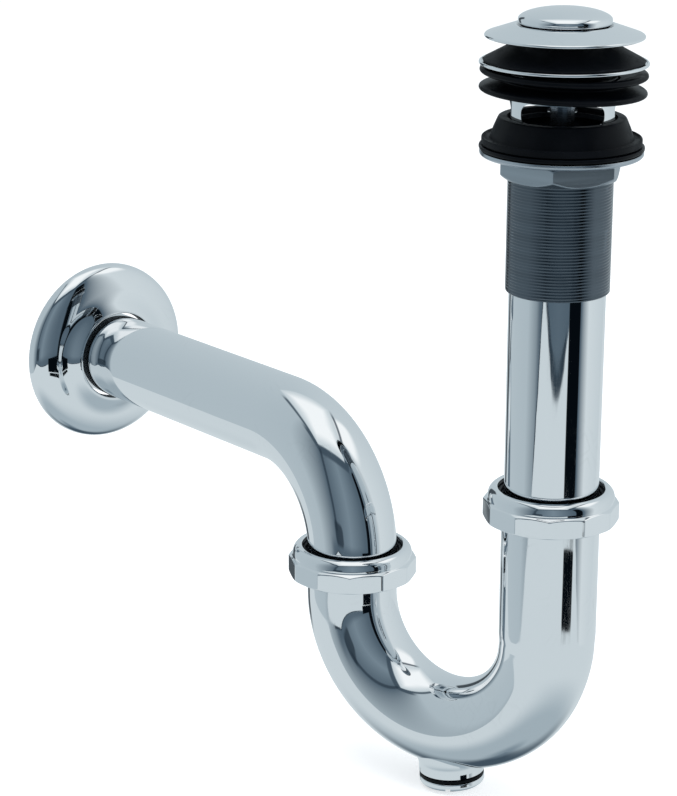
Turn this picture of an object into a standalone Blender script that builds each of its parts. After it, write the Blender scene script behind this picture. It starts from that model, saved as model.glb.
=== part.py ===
"""Basin trap with its plug: a push plug and flanged drain body above, a swivelling U-bend
with a cleanout below, and a wall arm with its cover plate.

Frame, in metres: the origin is on the drain's axis, in the plane of the basin's surface under
the flange. +Z is up out of the basin. The wall arm runs level towards -X, so the wall is
parallel to YZ. The U-bend's plane is turned BEND_TURN about the drain's axis.
"""

import math

import bmesh
import bpy
from mathutils import Matrix, Vector

for old in list(bpy.data.objects):
    bpy.data.objects.remove(old, do_unlink=True)

MM = 0.001

# Tube and clearances: the other radii follow from these
TUBE_R = 15.875 * MM            # 1 1/4 inch waste tube, outside
TUBE_WALL = 0.8 * MM
SLIP = 0.175 * MM               # tube in its socket
GAP = 0.3 * MM                  # between neighbouring pieces
THREAD_CLEAR = 0.3 * MM         # nut over thread, on the radius
EDGE = 0.5 * MM                 # small chamfer on rods, collars and thread ends

# Facets round each circle
FINE_SIDES = 36
MIDDLE_SIDES = 32
TUBE_SIDES = 32
SMALL_SIDES = 24
ROD_SIDES = 16

# Drain body: flange, windowed neck, thread and the socket that the tail screws into
SOCKET_WALL = 0.925 * MM
SOCKET_LEDGE = 0.675 * MM       # the bore is this much tighter than the tail
SOCKET_DEPTH = 12.3 * MM
NECK_STEP = 0.3 * MM            # the neck stands out over the thread
NECK_FOOT = 1.2 * MM            # neck under the windows
BODY_BOTTOM = -73.9 * MM
FLANGE_WIDTH = 9.7 * MM
FLANGE_TOP = 1.3 * MM
FLANGE_EDGE = 0.9 * MM          # thickness of the flange at its rim
FLANGE_ROOT_Z = -2.3 * MM       # underside of the flange where it meets the neck
RIM_WIDTH = 0.9 * MM
RIM_STEP = 0.6 * MM             # the rim stands over the dish
DISH_FALL = 2.3 * MM
MOUTH_WIDTH = 0.8 * MM          # funnel from the dish into the bore
MOUTH_DEPTH = 1.6 * MM
SOCKET_R = TUBE_R + GAP
THREAD_R = SOCKET_R + SOCKET_WALL
BODY_R = THREAD_R + NECK_STEP
BODY_BORE_R = TUBE_R - SOCKET_LEDGE
FLANGE_R = BODY_R + FLANGE_WIDTH
SOCKET_TOP = BODY_BOTTOM + SOCKET_DEPTH

# Overflow windows through the neck
WINDOW_TOP = -10.5 * MM
WINDOW_HEIGHT = 7.6 * MM
WINDOW_HALF_ANGLE = math.radians(46)
WINDOW_ROUND = 3.2 * MM
WINDOW_LOW = WINDOW_TOP - WINDOW_HEIGHT
WINDOW_WIDTH = 2 * BODY_R * math.sin(WINDOW_HALF_ANGLE)
THREAD_TOP = WINDOW_LOW - NECK_FOOT

# Plug: stem, cap, plate, seal, stop, and the guide in the drain body
STEM_R = 4.0 * MM
STEM_TAIL = 0.9 * MM            # stem under its stop
LIFT = 8.0 * MM
STOP_HEIGHT = 3.2 * MM
STOP_WALL = 1.9 * MM
HUB_DROP = 6.5 * MM             # guide's top under the windows
HUB_HEIGHT = 8.0 * MM
HUB_WALL = 2.2 * MM
SPOKE_WIDTH = 3.0 * MM
SPOKE_HEIGHT = 5.0 * MM
SEAL_OVERHANG = 1.2 * MM        # the flange reaches this far past the seal
SEAL_REST = 0.4 * MM            # seal's foot over the dish
SEAL_HEIGHT = 8.95 * MM
SEAL_LIP = 0.8 * MM
SEAL_HUB_HEIGHT = 5.0 * MM
PLATE_INSET = 0.35 * MM         # plate inside the seal
PLATE_THICK = 1.05 * MM
PLATE_FALL = 3.1 * MM           # cone from its crest to the rim
PLATE_RISE = 1.6 * MM           # crest over the recess that holds the cap
PLATE_CREST = 0.6 * MM          # crest outside the cap's widest line
CAP_R = 15.0 * MM
CAP_FOOT = 1.6 * MM             # the cap draws in under its widest line
CAP_SKIRT = 2.65 * MM
CAP_CROWN = 4.0 * MM
CAP_SOCKET = 3.25 * MM
STEM_BORE_R = STEM_R + GAP
HUB_R = STEM_BORE_R + HUB_WALL
HUB_TOP = WINDOW_LOW - HUB_DROP
HUB_LOW = HUB_TOP - HUB_HEIGHT
STOP_TOP = HUB_LOW - LIFT - GAP
STOP_LOW = STOP_TOP - STOP_HEIGHT
STOP_R = STEM_BORE_R + STOP_WALL

# Upper gasket, which sits a little crooked on the neck
GASKET_CLEAR = 0.6 * MM
GASKET_INSET = 0.2 * MM         # inside the flange's rim
GASKET_DROP = 1.1 * MM          # under the flange
GASKET_HEIGHT = 8.4 * MM
GASKET_LIP = 2.1 * MM
GASKET_WAIST = 6.9 * MM
GASKET_TILT = math.radians(-1.8)
GASKET_TILT_AXIS = Vector((math.sin(math.radians(50.7)), -math.cos(math.radians(50.7)), 0))
GASKET_BORE_R = BODY_R + GASKET_CLEAR
GASKET_R = FLANGE_R - GASKET_INSET

# Clamp under the basin, from its top down: tapered gasket, ring, washer and lock nut
CLAMP_TOP = -16.6 * MM
CLAMP_BORE_R = BODY_R + GAP
CONE_HEIGHT = 8.8 * MM
CONE_TOP_WIDTH = 2.9 * MM
CONE_WIDTH = 8.1 * MM
BRIM_HEIGHT = 2.3 * MM
BRIM_WALL = 1.0 * MM
CHANNEL_DEPTH = 0.7 * MM
CHANNEL_WIDTH = 1.6 * MM
RING_HEIGHT = 1.3 * MM
RING_WIDTH = 8.9 * MM
WASHER_HEIGHT = 1.8 * MM
WASHER_WIDTH = 8.7 * MM
LOCK_HEIGHT = 7.1 * MM
LOCK_WALL = 0.8 * MM            # least wall, at the middle of a flat
LOCK_CHAMFER = 1.3 * MM
LOCK_TURN = math.radians(-66.8)
CONE_LOW = CLAMP_TOP - CONE_HEIGHT
RING_TOP = CONE_LOW - GAP
RING_LOW = RING_TOP - RING_HEIGHT
WASHER_TOP = RING_LOW - GAP
WASHER_LOW = WASHER_TOP - WASHER_HEIGHT
LOCK_TOP = WASHER_LOW - GAP
LOCK_LOW = LOCK_TOP - LOCK_HEIGHT
LOCK_BORE_R = THREAD_R + THREAD_CLEAR
LOCK_FLAT = LOCK_BORE_R + LOCK_WALL

# Lay-out of the bend and the arm
BEND_TURN = math.radians(15.8)
BEND_R = 40.3 * MM              # centre line of the U, so the legs stand 80.6 mm apart
BEND_Z = -196.6 * MM            # level of the U's centre
BEND_SWELL = 0.125 * MM         # the bent tube over the plain one, on the radius
BEND_WALL = 0.7 * MM
LEG_WALL = 0.45 * MM            # wall of the widened inlet leg
LEG_FLOOR = 3.4 * MM            # socket's floor in that leg, over the U's centre
TAIL_ROOM = 14.6 * MM           # how far the tail can sink in that leg
INLET_RISE = 44.0 * MM          # inlet nut's foot, over the U's centre
OUTLET_RISE = 6.4 * MM
OUTLET_FLOOR = 1.3 * MM         # outlet socket's floor, over the nut's foot
ARM_SEAT = 0.5 * MM             # arm's foot over that floor
ELBOW_R = 40.0 * MM
ELBOW_START = 1.85 * MM         # the elbow starts this far over the outlet collar
WALL_S = 156.0 * MM             # wall plane, from the outlet leg's axis
ARM_PAST_WALL = 12.0 * MM
BEND_TUBE_R = TUBE_R + BEND_SWELL
BEND_BORE_R = BEND_TUBE_R - BEND_WALL
BEND_SOCKET_R = TUBE_R + SLIP
LEG_R = BEND_SOCKET_R + LEG_WALL
OUTLET = Vector((-2 * BEND_R * math.cos(BEND_TURN), -2 * BEND_R * math.sin(BEND_TURN), 0))

# Slip joints: collar of the bend, washer, friction ring and twelve-sided nut
COLLAR_WALL = 3.35 * MM
COLLAR_FOOT = 0.6 * MM          # heights over the nut's foot
COLLAR_HEAD = 6.0 * MM
SEAT_WIDTH = 1.55 * MM          # coned seat for the washer
SEAT_DEPTH = 1.4 * MM
SLIP_WASHER_THICK = 1.7 * MM
SLIP_WASHER_NOSE = 0.7 * MM
SLIP_WASHER_INSET = 0.2 * MM    # inside the collar's thread
FRICTION_THICK = 0.7 * MM
FRICTION_CLEAR = 1.0 * MM       # over the tube, so that the ring passes the foot of the elbow
NUT_LIP = 1.9 * MM
NUT_HOLE_CLEAR = 1.525 * MM
NUT_WALL = 1.6 * MM
NUT_GRIP = 3.15 * MM            # corners over the nut's bore
NUT_GRIP_HEIGHT = 6.0 * MM
NUT_SHOULDER = 0.9 * MM
NUT_SIDES = 12
INLET_NUT_TURN = math.radians(-60.9)
OUTLET_NUT_TURN = math.radians(-57.6)
COLLAR_R = BEND_SOCKET_R + COLLAR_WALL
SEAT_R = BEND_SOCKET_R + SEAT_WIDTH
NUT_BORE_R = COLLAR_R + THREAD_CLEAR
NUT_HOLE_R = TUBE_R + NUT_HOLE_CLEAR
NUT_COLLAR_R = NUT_BORE_R + NUT_WALL
NUT_CORNER_R = NUT_BORE_R + NUT_GRIP
NUT_HEIGHT = COLLAR_HEAD + SLIP_WASHER_THICK + FRICTION_THICK + 3 * GAP + NUT_LIP
INLET_NUT_Z = BEND_Z + INLET_RISE
OUTLET_NUT_Z = BEND_Z + OUTLET_RISE
TAIL_TOP = SOCKET_TOP - GAP
TAIL_BOTTOM = BEND_Z + LEG_FLOOR + TAIL_ROOM
ARM_FOOT = OUTLET_NUT_Z + OUTLET_FLOOR + ARM_SEAT
ELBOW_Z = OUTLET_NUT_Z + COLLAR_HEAD + ELBOW_START
ARM_Z = ELBOW_Z + ELBOW_R
ARM_END_S = WALL_S + ARM_PAST_WALL

# Cleanout, measured outward from the U's centre, close to its lowest point
CLEAN_TURN = math.radians(3.0)
CLEAN_BORE_R = 8.6 * MM
BOSS_WALL = 3.0 * MM
BOSS_HEIGHT = 2.1 * MM
CLEAN_GASKET_THICK = 1.2 * MM
CLEAN_GASKET_INSET = 0.15 * MM
CLEAN_HEAD_THICK = 2.8 * MM
CLEAN_HEAD_INSET = 0.1 * MM
SPIGOT_REACH = 1.0 * MM         # the spigot's end stands this far inside the bend's bore
SLOT_WIDTH = 1.8 * MM
SLOT_DEPTH = 1.3 * MM
SLOT_TURN = math.radians(65)
BOSS_R = CLEAN_BORE_R + BOSS_WALL
BOSS_END = BEND_R + BEND_TUBE_R + BOSS_HEIGHT
CLEAN_GASKET_NEAR = BOSS_END + GAP
CLEAN_GASKET_FAR = CLEAN_GASKET_NEAR + CLEAN_GASKET_THICK
CLEAN_HEAD_NEAR = CLEAN_GASKET_FAR + GAP
CLEAN_HEAD_FAR = CLEAN_HEAD_NEAR + CLEAN_HEAD_THICK
CLEAN_HEAD_R = BOSS_R - CLEAN_HEAD_INSET
SPIGOT_R = CLEAN_BORE_R - THREAD_CLEAR
SPIGOT_END = BEND_R + BEND_BORE_R - SPIGOT_REACH

# Wall cover: pressed sheet, with its depth measured from the wall
COVER_R = 34.9 * MM
COVER_DEPTH = 11.5 * MM
COVER_WALL = 0.9 * MM
COVER_RIM = 1.2 * MM
COVER_SHOULDER = 4.5 * MM
COVER_CLEAR = 1.025 * MM        # hole over the arm
COVER_LIP = 2.4 * MM
COVER_HOLE_R = TUBE_R + COVER_CLEAR


def material(name, colour, metallic, roughness):
    made = bpy.data.materials.new(name)
    made.use_nodes = True
    shader = made.node_tree.nodes["Principled BSDF"]
    shader.inputs["Base Color"].default_value = (*colour, 1)
    shader.inputs["Metallic"].default_value = metallic
    shader.inputs["Roughness"].default_value = roughness
    return made


def chrome(name):
    return material(name, (0.80, 0.84, 0.88), 1.0, 0.08)


def steel(name):
    return material(name, (0.34, 0.38, 0.43), 1.0, 0.38)


def rubber(name):
    return material(name, (0.02, 0.022, 0.026), 0.0, 0.55)


def smooth(obj, angle=35):
    for face in obj.data.polygons:
        face.use_smooth = True
    obj.data.set_sharp_from_angle(angle=math.radians(angle))


def add(name, data, mat, place=None):
    obj = bpy.data.objects.new(name, data)
    bpy.context.scene.collection.objects.link(obj)
    if mat:
        data.materials.append(mat)
    if place is not None:
        obj.matrix_world = place
    return obj


def helper(obj):
    obj.hide_render = True
    obj.display_type = "WIRE"
    return obj


def turned(name, outline, steps, mat, place=None, on_axis=False, turn=0.0):
    """A turned piece. The outline, (radius, height), runs down the outer side first.
    A closed outline gives a ring; on_axis gives a solid whose ends lie on the axis."""
    mesh = bpy.data.meshes.new(name)
    points = [(r * math.cos(turn), r * math.sin(turn), z) for r, z in outline]
    edges = [(i, i + 1) for i in range(len(points) - 1)]
    if not on_axis:
        edges.append((len(points) - 1, 0))
    mesh.from_pydata(points, edges, [])
    obj = add(name, mesh, mat, place)
    screw = obj.modifiers.new("turn", "SCREW")
    screw.axis = "Z"
    screw.angle = 2 * math.pi
    screw.steps = steps
    screw.render_steps = steps
    screw.use_merge_vertices = True
    screw.merge_threshold = 1e-6
    screw.use_smooth_shade = True
    return obj


def ring_outline(inner, outer, low, top, upper_edge=0.0, lower_edge=0.0):
    """Section of a flat ring whose outer edges are chamfered."""
    return [(outer - upper_edge, top), (outer, top - upper_edge), (outer, low + lower_edge),
            (outer - lower_edge, low), (inner, low), (inner, top)]


def combine(obj, other, operation):
    step = obj.modifiers.new(operation.lower() + " " + other.name, "BOOLEAN")
    step.operation = operation
    step.solver = "EXACT"
    step.object = other
    return step


def prism(name, sides, apothem, low, top, turn, place=None):
    """A helper: a prism of the given half width across flats, with a corner at turn."""
    corner = apothem / math.cos(math.pi / sides)
    ring = []
    for i in range(sides):
        a = turn + 2 * math.pi * i / sides
        ring.append((corner * math.cos(a), corner * math.sin(a)))
    points = [(x, y, low) for x, y in ring] + [(x, y, top) for x, y in ring]
    faces = [tuple(reversed(range(sides))), tuple(range(sides, 2 * sides))]
    for i in range(sides):
        j = (i + 1) % sides
        faces.append((i, j, j + sides, i + sides))
    mesh = bpy.data.meshes.new(name)
    mesh.from_pydata(points, [], faces)
    return helper(add(name, mesh, None, place))


def block(name, low, high, place=None, rounding=0.0):
    """A helper box; its edges along local X can be rounded."""
    mesh = bpy.data.meshes.new(name)
    work = bmesh.new()
    bmesh.ops.create_cube(work, size=1.0)
    size = [h - l for l, h in zip(low, high)]
    middle = [(h + l) / 2 for l, h in zip(low, high)]
    bmesh.ops.scale(work, vec=size, verts=work.verts)
    bmesh.ops.translate(work, vec=middle, verts=work.verts)
    if rounding:
        along = [e for e in work.edges if abs((e.verts[0].co - e.verts[1].co).x) > 1e-6]
        bmesh.ops.bevel(work, geom=along, offset=rounding, segments=4, profile=0.5, affect="EDGES")
    work.to_mesh(mesh)
    work.free()
    return helper(add(name, mesh, None, place))


def stations_mesh(name, rows, sides, ring_back=None):
    """Skin over circles along a path in the XZ plane. A row is (x, z, direction, radius), the
    direction an angle from +X. With ring_back, a second list of rows forms the bore and the
    two skins are joined at the mouths."""
    points = []
    faces = []

    def circle(row):
        x, z, direction, radius = row
        across = Vector((-math.sin(direction), 0, math.cos(direction)))
        start = len(points)
        for i in range(sides):
            a = 2 * math.pi * i / sides
            offset = across * (radius * math.cos(a)) + Vector((0, radius * math.sin(a), 0))
            points.append((x + offset.x, offset.y, z + offset.z))
        return start

    def skin(rows_here, inward):
        starts = [circle(row) for row in rows_here]
        for a, b in zip(starts, starts[1:]):
            for i in range(sides):
                j = (i + 1) % sides
                quad = (a + i, b + i, b + j, a + j)
                faces.append(quad if inward else tuple(reversed(quad)))
        return starts

    outer = skin(rows, False)
    if ring_back:
        inner = skin(ring_back, True)
        for k, flip in ((0, False), (-1, True)):
            for i in range(sides):
                j = (i + 1) % sides
                quad = (outer[k] + i, inner[k] + i, inner[k] + j, outer[k] + j)
                faces.append(tuple(reversed(quad)) if flip else quad)
    else:
        faces.append(tuple(outer[0] + i for i in range(sides)))
        faces.append(tuple(outer[-1] + i for i in reversed(range(sides))))
    mesh = bpy.data.meshes.new(name)
    mesh.from_pydata(points, [], faces)
    mesh.update()
    work = bmesh.new()
    work.from_mesh(mesh)
    bmesh.ops.recalc_face_normals(work, faces=work.faces)
    work.to_mesh(mesh)
    work.free()
    return mesh


# Drain body: the dish of the flange and its underside are cones, used again by what rests there
rim_in = FLANGE_R - RIM_WIDTH
mouth_r = BODY_BORE_R + MOUTH_WIDTH
dish_top = FLANGE_TOP - RIM_STEP
dish_low = dish_top - DISH_FALL
edge_low = FLANGE_TOP - FLANGE_EDGE


def dish_z(radius):
    return dish_top + (radius - rim_in) * DISH_FALL / (rim_in - mouth_r)


def under_z(radius):
    return FLANGE_ROOT_Z + (radius - BODY_R) * (edge_low - FLANGE_ROOT_Z) / FLANGE_WIDTH


drain = [(mouth_r, dish_low), (rim_in, dish_top), (rim_in + RIM_WIDTH / 4, FLANGE_TOP),
         (FLANGE_R - RIM_WIDTH / 3, FLANGE_TOP), (FLANGE_R, FLANGE_TOP - RIM_WIDTH / 3),
         (FLANGE_R, edge_low), (BODY_R, FLANGE_ROOT_Z), (BODY_R, THREAD_TOP + NECK_STEP),
         (THREAD_R, THREAD_TOP), (THREAD_R, BODY_BOTTOM + EDGE), (THREAD_R - EDGE, BODY_BOTTOM),
         (SOCKET_R, BODY_BOTTOM), (SOCKET_R, SOCKET_TOP), (BODY_BORE_R, SOCKET_TOP),
         (BODY_BORE_R, dish_low - MOUTH_DEPTH)]
drain_body = turned("drain_body", drain, FINE_SIDES, chrome("chrome_drain"), turn=BEND_TURN)

# Guide for the stem: a hub on three spokes, which stand under the windows
hub = helper(turned("hub", ring_outline(STEM_BORE_R, HUB_R, HUB_LOW, HUB_TOP), ROD_SIDES, None))
window_turns = [BEND_TURN + math.radians(a) for a in (-60, 60, 180)]
spoke_low = (HUB_LOW + HUB_TOP - SPOKE_HEIGHT) / 2
for index, turn in enumerate(window_turns):
    spoke = block(f"spoke_{index}", (STEM_BORE_R + HUB_WALL / 2, -SPOKE_WIDTH / 2, spoke_low),
                  ((BODY_BORE_R + THREAD_R) / 2, SPOKE_WIDTH / 2, spoke_low + SPOKE_HEIGHT),
                  Matrix.Rotation(turn, 4, "Z"))
    combine(hub, spoke, "UNION")
combine(drain_body, hub, "UNION")
for index, turn in enumerate(window_turns):
    window = block(f"window_{index}", (BODY_BORE_R / 2, -WINDOW_WIDTH / 2, WINDOW_LOW),
                   (BODY_R + FLANGE_WIDTH, WINDOW_WIDTH / 2, WINDOW_TOP),
                   Matrix.Rotation(turn, 4, "Z"), rounding=WINDOW_ROUND)
    combine(drain_body, window, "DIFFERENCE")

# Plug, from the dish up: seal, plate and cap, then the stem and its stop
seal_r = FLANGE_R - SEAL_OVERHANG
seal_low = dish_z(seal_r) + SEAL_REST
seal_top = seal_low + SEAL_HEIGHT
seal = [(STEM_BORE_R, seal_top), (0.31 * seal_r, seal_top),
        (0.37 * seal_r, seal_top - 0.145 * SEAL_HEIGHT),
        (0.56 * seal_r, seal_top - 0.25 * SEAL_HEIGHT),
        (0.707 * seal_r, seal_top - 0.475 * SEAL_HEIGHT), (seal_r - GAP, seal_low + SEAL_LIP),
        (seal_r, seal_low + SEAL_LIP / 2), (seal_r - GAP, seal_low),
        (seal_r - 2 * SEAL_LIP, seal_low), (0.79 * seal_r, seal_low + 0.25 * SEAL_HEIGHT),
        (0.60 * seal_r, seal_top - SEAL_HUB_HEIGHT), (STEM_BORE_R, seal_top - SEAL_HUB_HEIGHT)]
turned("stopper_seal", seal, MIDDLE_SIDES, rubber("rubber_seal"))

plate_r = seal_r - PLATE_INSET
plate_top = seal_top + GAP + PLATE_THICK
cap_foot_r = CAP_R - CAP_FOOT
recess_r = cap_foot_r + GAP
crest_r = CAP_R + PLATE_CREST
crest_z = plate_top + PLATE_RISE
rim_z = crest_z - PLATE_FALL
plate = [(STEM_BORE_R, plate_top), (recess_r, plate_top), (crest_r, crest_z),
         (crest_r + EDGE, crest_z), (plate_r - EDGE, rim_z), (plate_r, rim_z - GAP),
         (plate_r, rim_z - PLATE_THICK + GAP), (plate_r - EDGE, rim_z - PLATE_THICK),
         (crest_r + EDGE, crest_z - PLATE_THICK), (recess_r + EDGE, plate_top - PLATE_THICK),
         (STEM_BORE_R, plate_top - PLATE_THICK)]
turned("stopper_plate", plate, FINE_SIDES, chrome("chrome_plate"))

cap_low = plate_top + GAP
cap_wide = cap_low + CAP_SKIRT
dome = []
for step in range(8):
    a = math.pi / 2 * step / 7
    dome.append((CAP_R * math.sin(a), cap_wide + CAP_CROWN * max(math.cos(a), 0) ** 1.24))
dome += [(CAP_R - CAP_FOOT / 4, cap_low + CAP_SKIRT / 2), (cap_foot_r, cap_low),
         (STEM_BORE_R, cap_low), (STEM_BORE_R, cap_low + CAP_SOCKET), (0, cap_low + CAP_SOCKET)]
turned("dome_cap", dome, TUBE_SIDES, chrome("chrome_cap"), on_axis=True)

stem_top = cap_low + CAP_SOCKET - GAP
stem_low = STOP_LOW - STEM_TAIL
stem = [(0, stem_top), (STEM_R - EDGE, stem_top), (STEM_R, stem_top - EDGE),
        (STEM_R, stem_low + EDGE), (STEM_R - EDGE, stem_low), (0, stem_low)]
turned("plug_stem", stem, ROD_SIDES, steel("steel_stem"), on_axis=True)
turned("stem_stop", ring_outline(STEM_BORE_R, STOP_R, STOP_LOW, STOP_TOP, EDGE, EDGE), ROD_SIDES,
       steel("steel_stop"))

# Upper gasket: one rubber piece with two lips and a waist
lip_z = under_z(GASKET_R - GASKET_LIP) - GASKET_DROP
waist_r = GASKET_R - GASKET_WAIST
waist_z = lip_z - GASKET_HEIGHT * 0.46
gasket = [(GASKET_BORE_R, under_z(GASKET_BORE_R) - GASKET_DROP), (GASKET_R - GASKET_LIP, lip_z),
          (GASKET_R - GAP, lip_z - GAP), (GASKET_R, lip_z - 3 * GAP),
          (GASKET_R, lip_z - GASKET_LIP + 2 * GAP), (GASKET_R - 2 * GAP, lip_z - GASKET_LIP),
          (waist_r + 2 * GAP, waist_z + 2 * GAP), (waist_r, waist_z),
          (waist_r + 2 * GAP, waist_z - 2 * GAP),
          (GASKET_R - 2 * GAP, lip_z - GASKET_HEIGHT + GASKET_LIP + EDGE),
          (GASKET_R, lip_z - GASKET_HEIGHT + GASKET_LIP),
          (GASKET_R, lip_z - GASKET_HEIGHT + 3 * GAP), (GASKET_R - 2 * GAP, lip_z - GASKET_HEIGHT + GAP),
          (GASKET_BORE_R, lip_z - GASKET_HEIGHT)]
pivot = Vector((0, 0, waist_z))
tilt = (Matrix.Translation(pivot) @ Matrix.Rotation(GASKET_TILT, 4, GASKET_TILT_AXIS)
        @ Matrix.Translation(-pivot))
turned("upper_gasket", gasket, MIDDLE_SIDES, rubber("rubber_upper"), tilt)

# Clamp under the basin: the tapered gasket has a channel inside its upturned brim
cone_r = CLAMP_BORE_R + CONE_WIDTH
cone_top_r = CLAMP_BORE_R + CONE_TOP_WIDTH
brim_top = CONE_LOW + BRIM_HEIGHT
channel_out = cone_r - BRIM_WALL
channel_in = channel_out - CHANNEL_WIDTH
channel_z = brim_top - CHANNEL_DEPTH
cone = [(CLAMP_BORE_R, CLAMP_TOP), (cone_top_r - GAP, CLAMP_TOP), (cone_top_r, CLAMP_TOP - GAP),
        (cone_top_r + 0.62 * (channel_in - cone_top_r), CLAMP_TOP - 0.56 * (CLAMP_TOP - channel_z)),
        (channel_in, channel_z), (channel_out, channel_z),
        (cone_r - 0.6 * BRIM_WALL, brim_top), (cone_r - 0.2 * BRIM_WALL, brim_top),
        (cone_r, brim_top - GAP), (cone_r, CONE_LOW), (CLAMP_BORE_R, CONE_LOW)]
turned("lower_gasket", cone, MIDDLE_SIDES, rubber("rubber_lower"))
turned("clamp_ring", ring_outline(CLAMP_BORE_R, CLAMP_BORE_R + RING_WIDTH, RING_LOW, RING_TOP,
                                  GAP, GAP), MIDDLE_SIDES, rubber("rubber_ring"))
turned("clamp_washer", ring_outline(CLAMP_BORE_R, CLAMP_BORE_R + WASHER_WIDTH, WASHER_LOW,
                                    WASHER_TOP, GAP, 2 * GAP), MIDDLE_SIDES, steel("steel_washer"))

lock_corner = LOCK_FLAT / math.cos(math.pi / 6) + SLIP
lock_blank = [(LOCK_BORE_R, LOCK_TOP), (LOCK_FLAT + GAP, LOCK_TOP),
              (lock_corner, LOCK_TOP - LOCK_CHAMFER), (lock_corner, LOCK_LOW + LOCK_CHAMFER + GAP),
              (LOCK_FLAT, LOCK_LOW), (LOCK_BORE_R, LOCK_LOW)]
lock_nut = turned("lock_nut", lock_blank, FINE_SIDES, steel("steel_nut"),
                  turn=BEND_TURN + LOCK_TURN)
lock_flats = prism("lock_nut_flats", 6, LOCK_FLAT, LOCK_LOW - GAP, LOCK_TOP + GAP,
                   BEND_TURN + LOCK_TURN)
combine(lock_nut, lock_flats, "INTERSECT")

# Tail: plain tube between the drain body's socket and the inlet leg
turned("tailpiece", ring_outline(TUBE_R - TUBE_WALL, TUBE_R, TAIL_BOTTOM, TAIL_TOP), FINE_SIDES,
       chrome("chrome_tail"), turn=BEND_TURN)


def slip_joint(label, base, axis, turn):
    """Slip washer, friction ring and twelve-sided nut of one joint, over its base level."""
    place = Matrix.Translation((axis.x, axis.y, base))
    seal_bore = TUBE_R + GAP
    seal_out = COLLAR_R - SLIP_WASHER_INSET
    low = COLLAR_HEAD + GAP
    top = low + SLIP_WASHER_THICK
    nose = low - SLIP_WASHER_NOSE
    turned(f"{label}_slip_washer",
           [(seal_bore, top), (seal_out, top), (seal_out, low), (SEAT_R - SLIP, low),
            (SEAT_R - SLIP - SLIP_WASHER_NOSE, nose), (seal_bore, nose)],
           SMALL_SIDES, rubber(f"rubber_{label}_washer"), place)
    low = top + GAP
    top = low + FRICTION_THICK
    turned(f"{label}_friction_ring", ring_outline(TUBE_R + FRICTION_CLEAR, seal_out, low, top),
           SMALL_SIDES, rubber(f"plastic_{label}_ring"), place)
    lip = top + GAP
    widest = NUT_CORNER_R + SLIP
    blank = [(NUT_HOLE_R, NUT_HEIGHT - SLIP), (NUT_HOLE_R + 0.35 * NUT_LIP, NUT_HEIGHT),
             (NUT_COLLAR_R - 0.8 * NUT_LIP, NUT_HEIGHT - 0.25 * NUT_LIP),
             (NUT_COLLAR_R - 0.2 * NUT_LIP, NUT_HEIGHT - 0.85 * NUT_LIP),
             (NUT_COLLAR_R, NUT_HEIGHT - 1.55 * NUT_LIP),
             (NUT_COLLAR_R, NUT_GRIP_HEIGHT + NUT_SHOULDER), (widest, NUT_GRIP_HEIGHT),
             (widest, EDGE), (NUT_CORNER_R - EDGE, 0), (NUT_BORE_R, 0), (NUT_BORE_R, lip),
             (NUT_HOLE_R, lip)]
    nut = turned(f"{label}_slip_nut", blank, FINE_SIDES, chrome(f"chrome_{label}_nut"), place,
                 turn=turn)
    flat = NUT_CORNER_R * math.cos(math.pi / NUT_SIDES)
    flats = prism(f"{label}_nut_flats", NUT_SIDES, flat, -NUT_LIP, NUT_HEIGHT + NUT_LIP, turn, place)
    combine(nut, flats, "INTERSECT")


slip_joint("inlet", INLET_NUT_Z, Vector((0, 0, 0)), BEND_TURN + INLET_NUT_TURN)
slip_joint("outlet", OUTLET_NUT_Z, OUTLET, BEND_TURN + OUTLET_NUT_TURN)

# U-bend: widened inlet leg, half-circle bend and threaded collars, swept, with a boss for the
# cleanout; the bore is a second sweep cut out of the first
DOWN, UP = -math.pi / 2, math.pi / 2


def bend_rows(radius, count):
    rows = []
    for i in range(count + 1):
        a = math.pi * i / count
        x = -BEND_R + BEND_R * math.cos(a)
        z = -BEND_R * math.sin(a)
        rows.append((x, z, DOWN - a, radius))
    return rows


def collar_rows(x, rise, direction, leg_r):
    """Threaded collar over a leg, from its head down to the leg."""
    return [(x, rise + COLLAR_HEAD, direction, COLLAR_R - EDGE),
            (x, rise + COLLAR_HEAD - EDGE, direction, COLLAR_R),
            (x, rise + COLLAR_FOOT + NUT_SHOULDER, direction, COLLAR_R),
            (x, rise + COLLAR_FOOT, direction, leg_r)]


def seat_rows(x, rise, direction):
    """Coned seat at a collar's mouth, carried on past the head so that it cuts cleanly."""
    slope = SEAT_WIDTH / SEAT_DEPTH
    return [(x, rise + COLLAR_HEAD + EDGE, direction, SEAT_R + slope * EDGE),
            (x, rise + COLLAR_HEAD - SEAT_DEPTH, direction, BEND_SOCKET_R)]


out_x = -2 * BEND_R
back_up = UP - 2 * math.pi
leg_end = LEG_FLOOR - LEG_WALL
skin_rows = collar_rows(0, INLET_RISE, DOWN, LEG_R) + [(0, leg_end, DOWN, LEG_R)]
skin_rows += bend_rows(BEND_TUBE_R, 13)
skin_rows += collar_rows(out_x, OUTLET_RISE, back_up, BEND_TUBE_R)[::-1]
bore_rows = seat_rows(0, INLET_RISE, DOWN)
bore_rows += [(0, LEG_FLOOR, DOWN, BEND_SOCKET_R), (0, LEG_FLOOR / 2, DOWN, BEND_BORE_R)]
bore_rows += bend_rows(BEND_BORE_R, 8)
bore_rows += [(out_x, OUTLET_RISE + OUTLET_FLOOR - GAP, back_up, BEND_BORE_R),
              (out_x, OUTLET_RISE + OUTLET_FLOOR, back_up, BEND_SOCKET_R)]
bore_rows += seat_rows(out_x, OUTLET_RISE, back_up)[::-1]
bend_place = Matrix.Translation((0, 0, BEND_Z)) @ Matrix.Rotation(BEND_TURN, 4, "Z")
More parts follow.
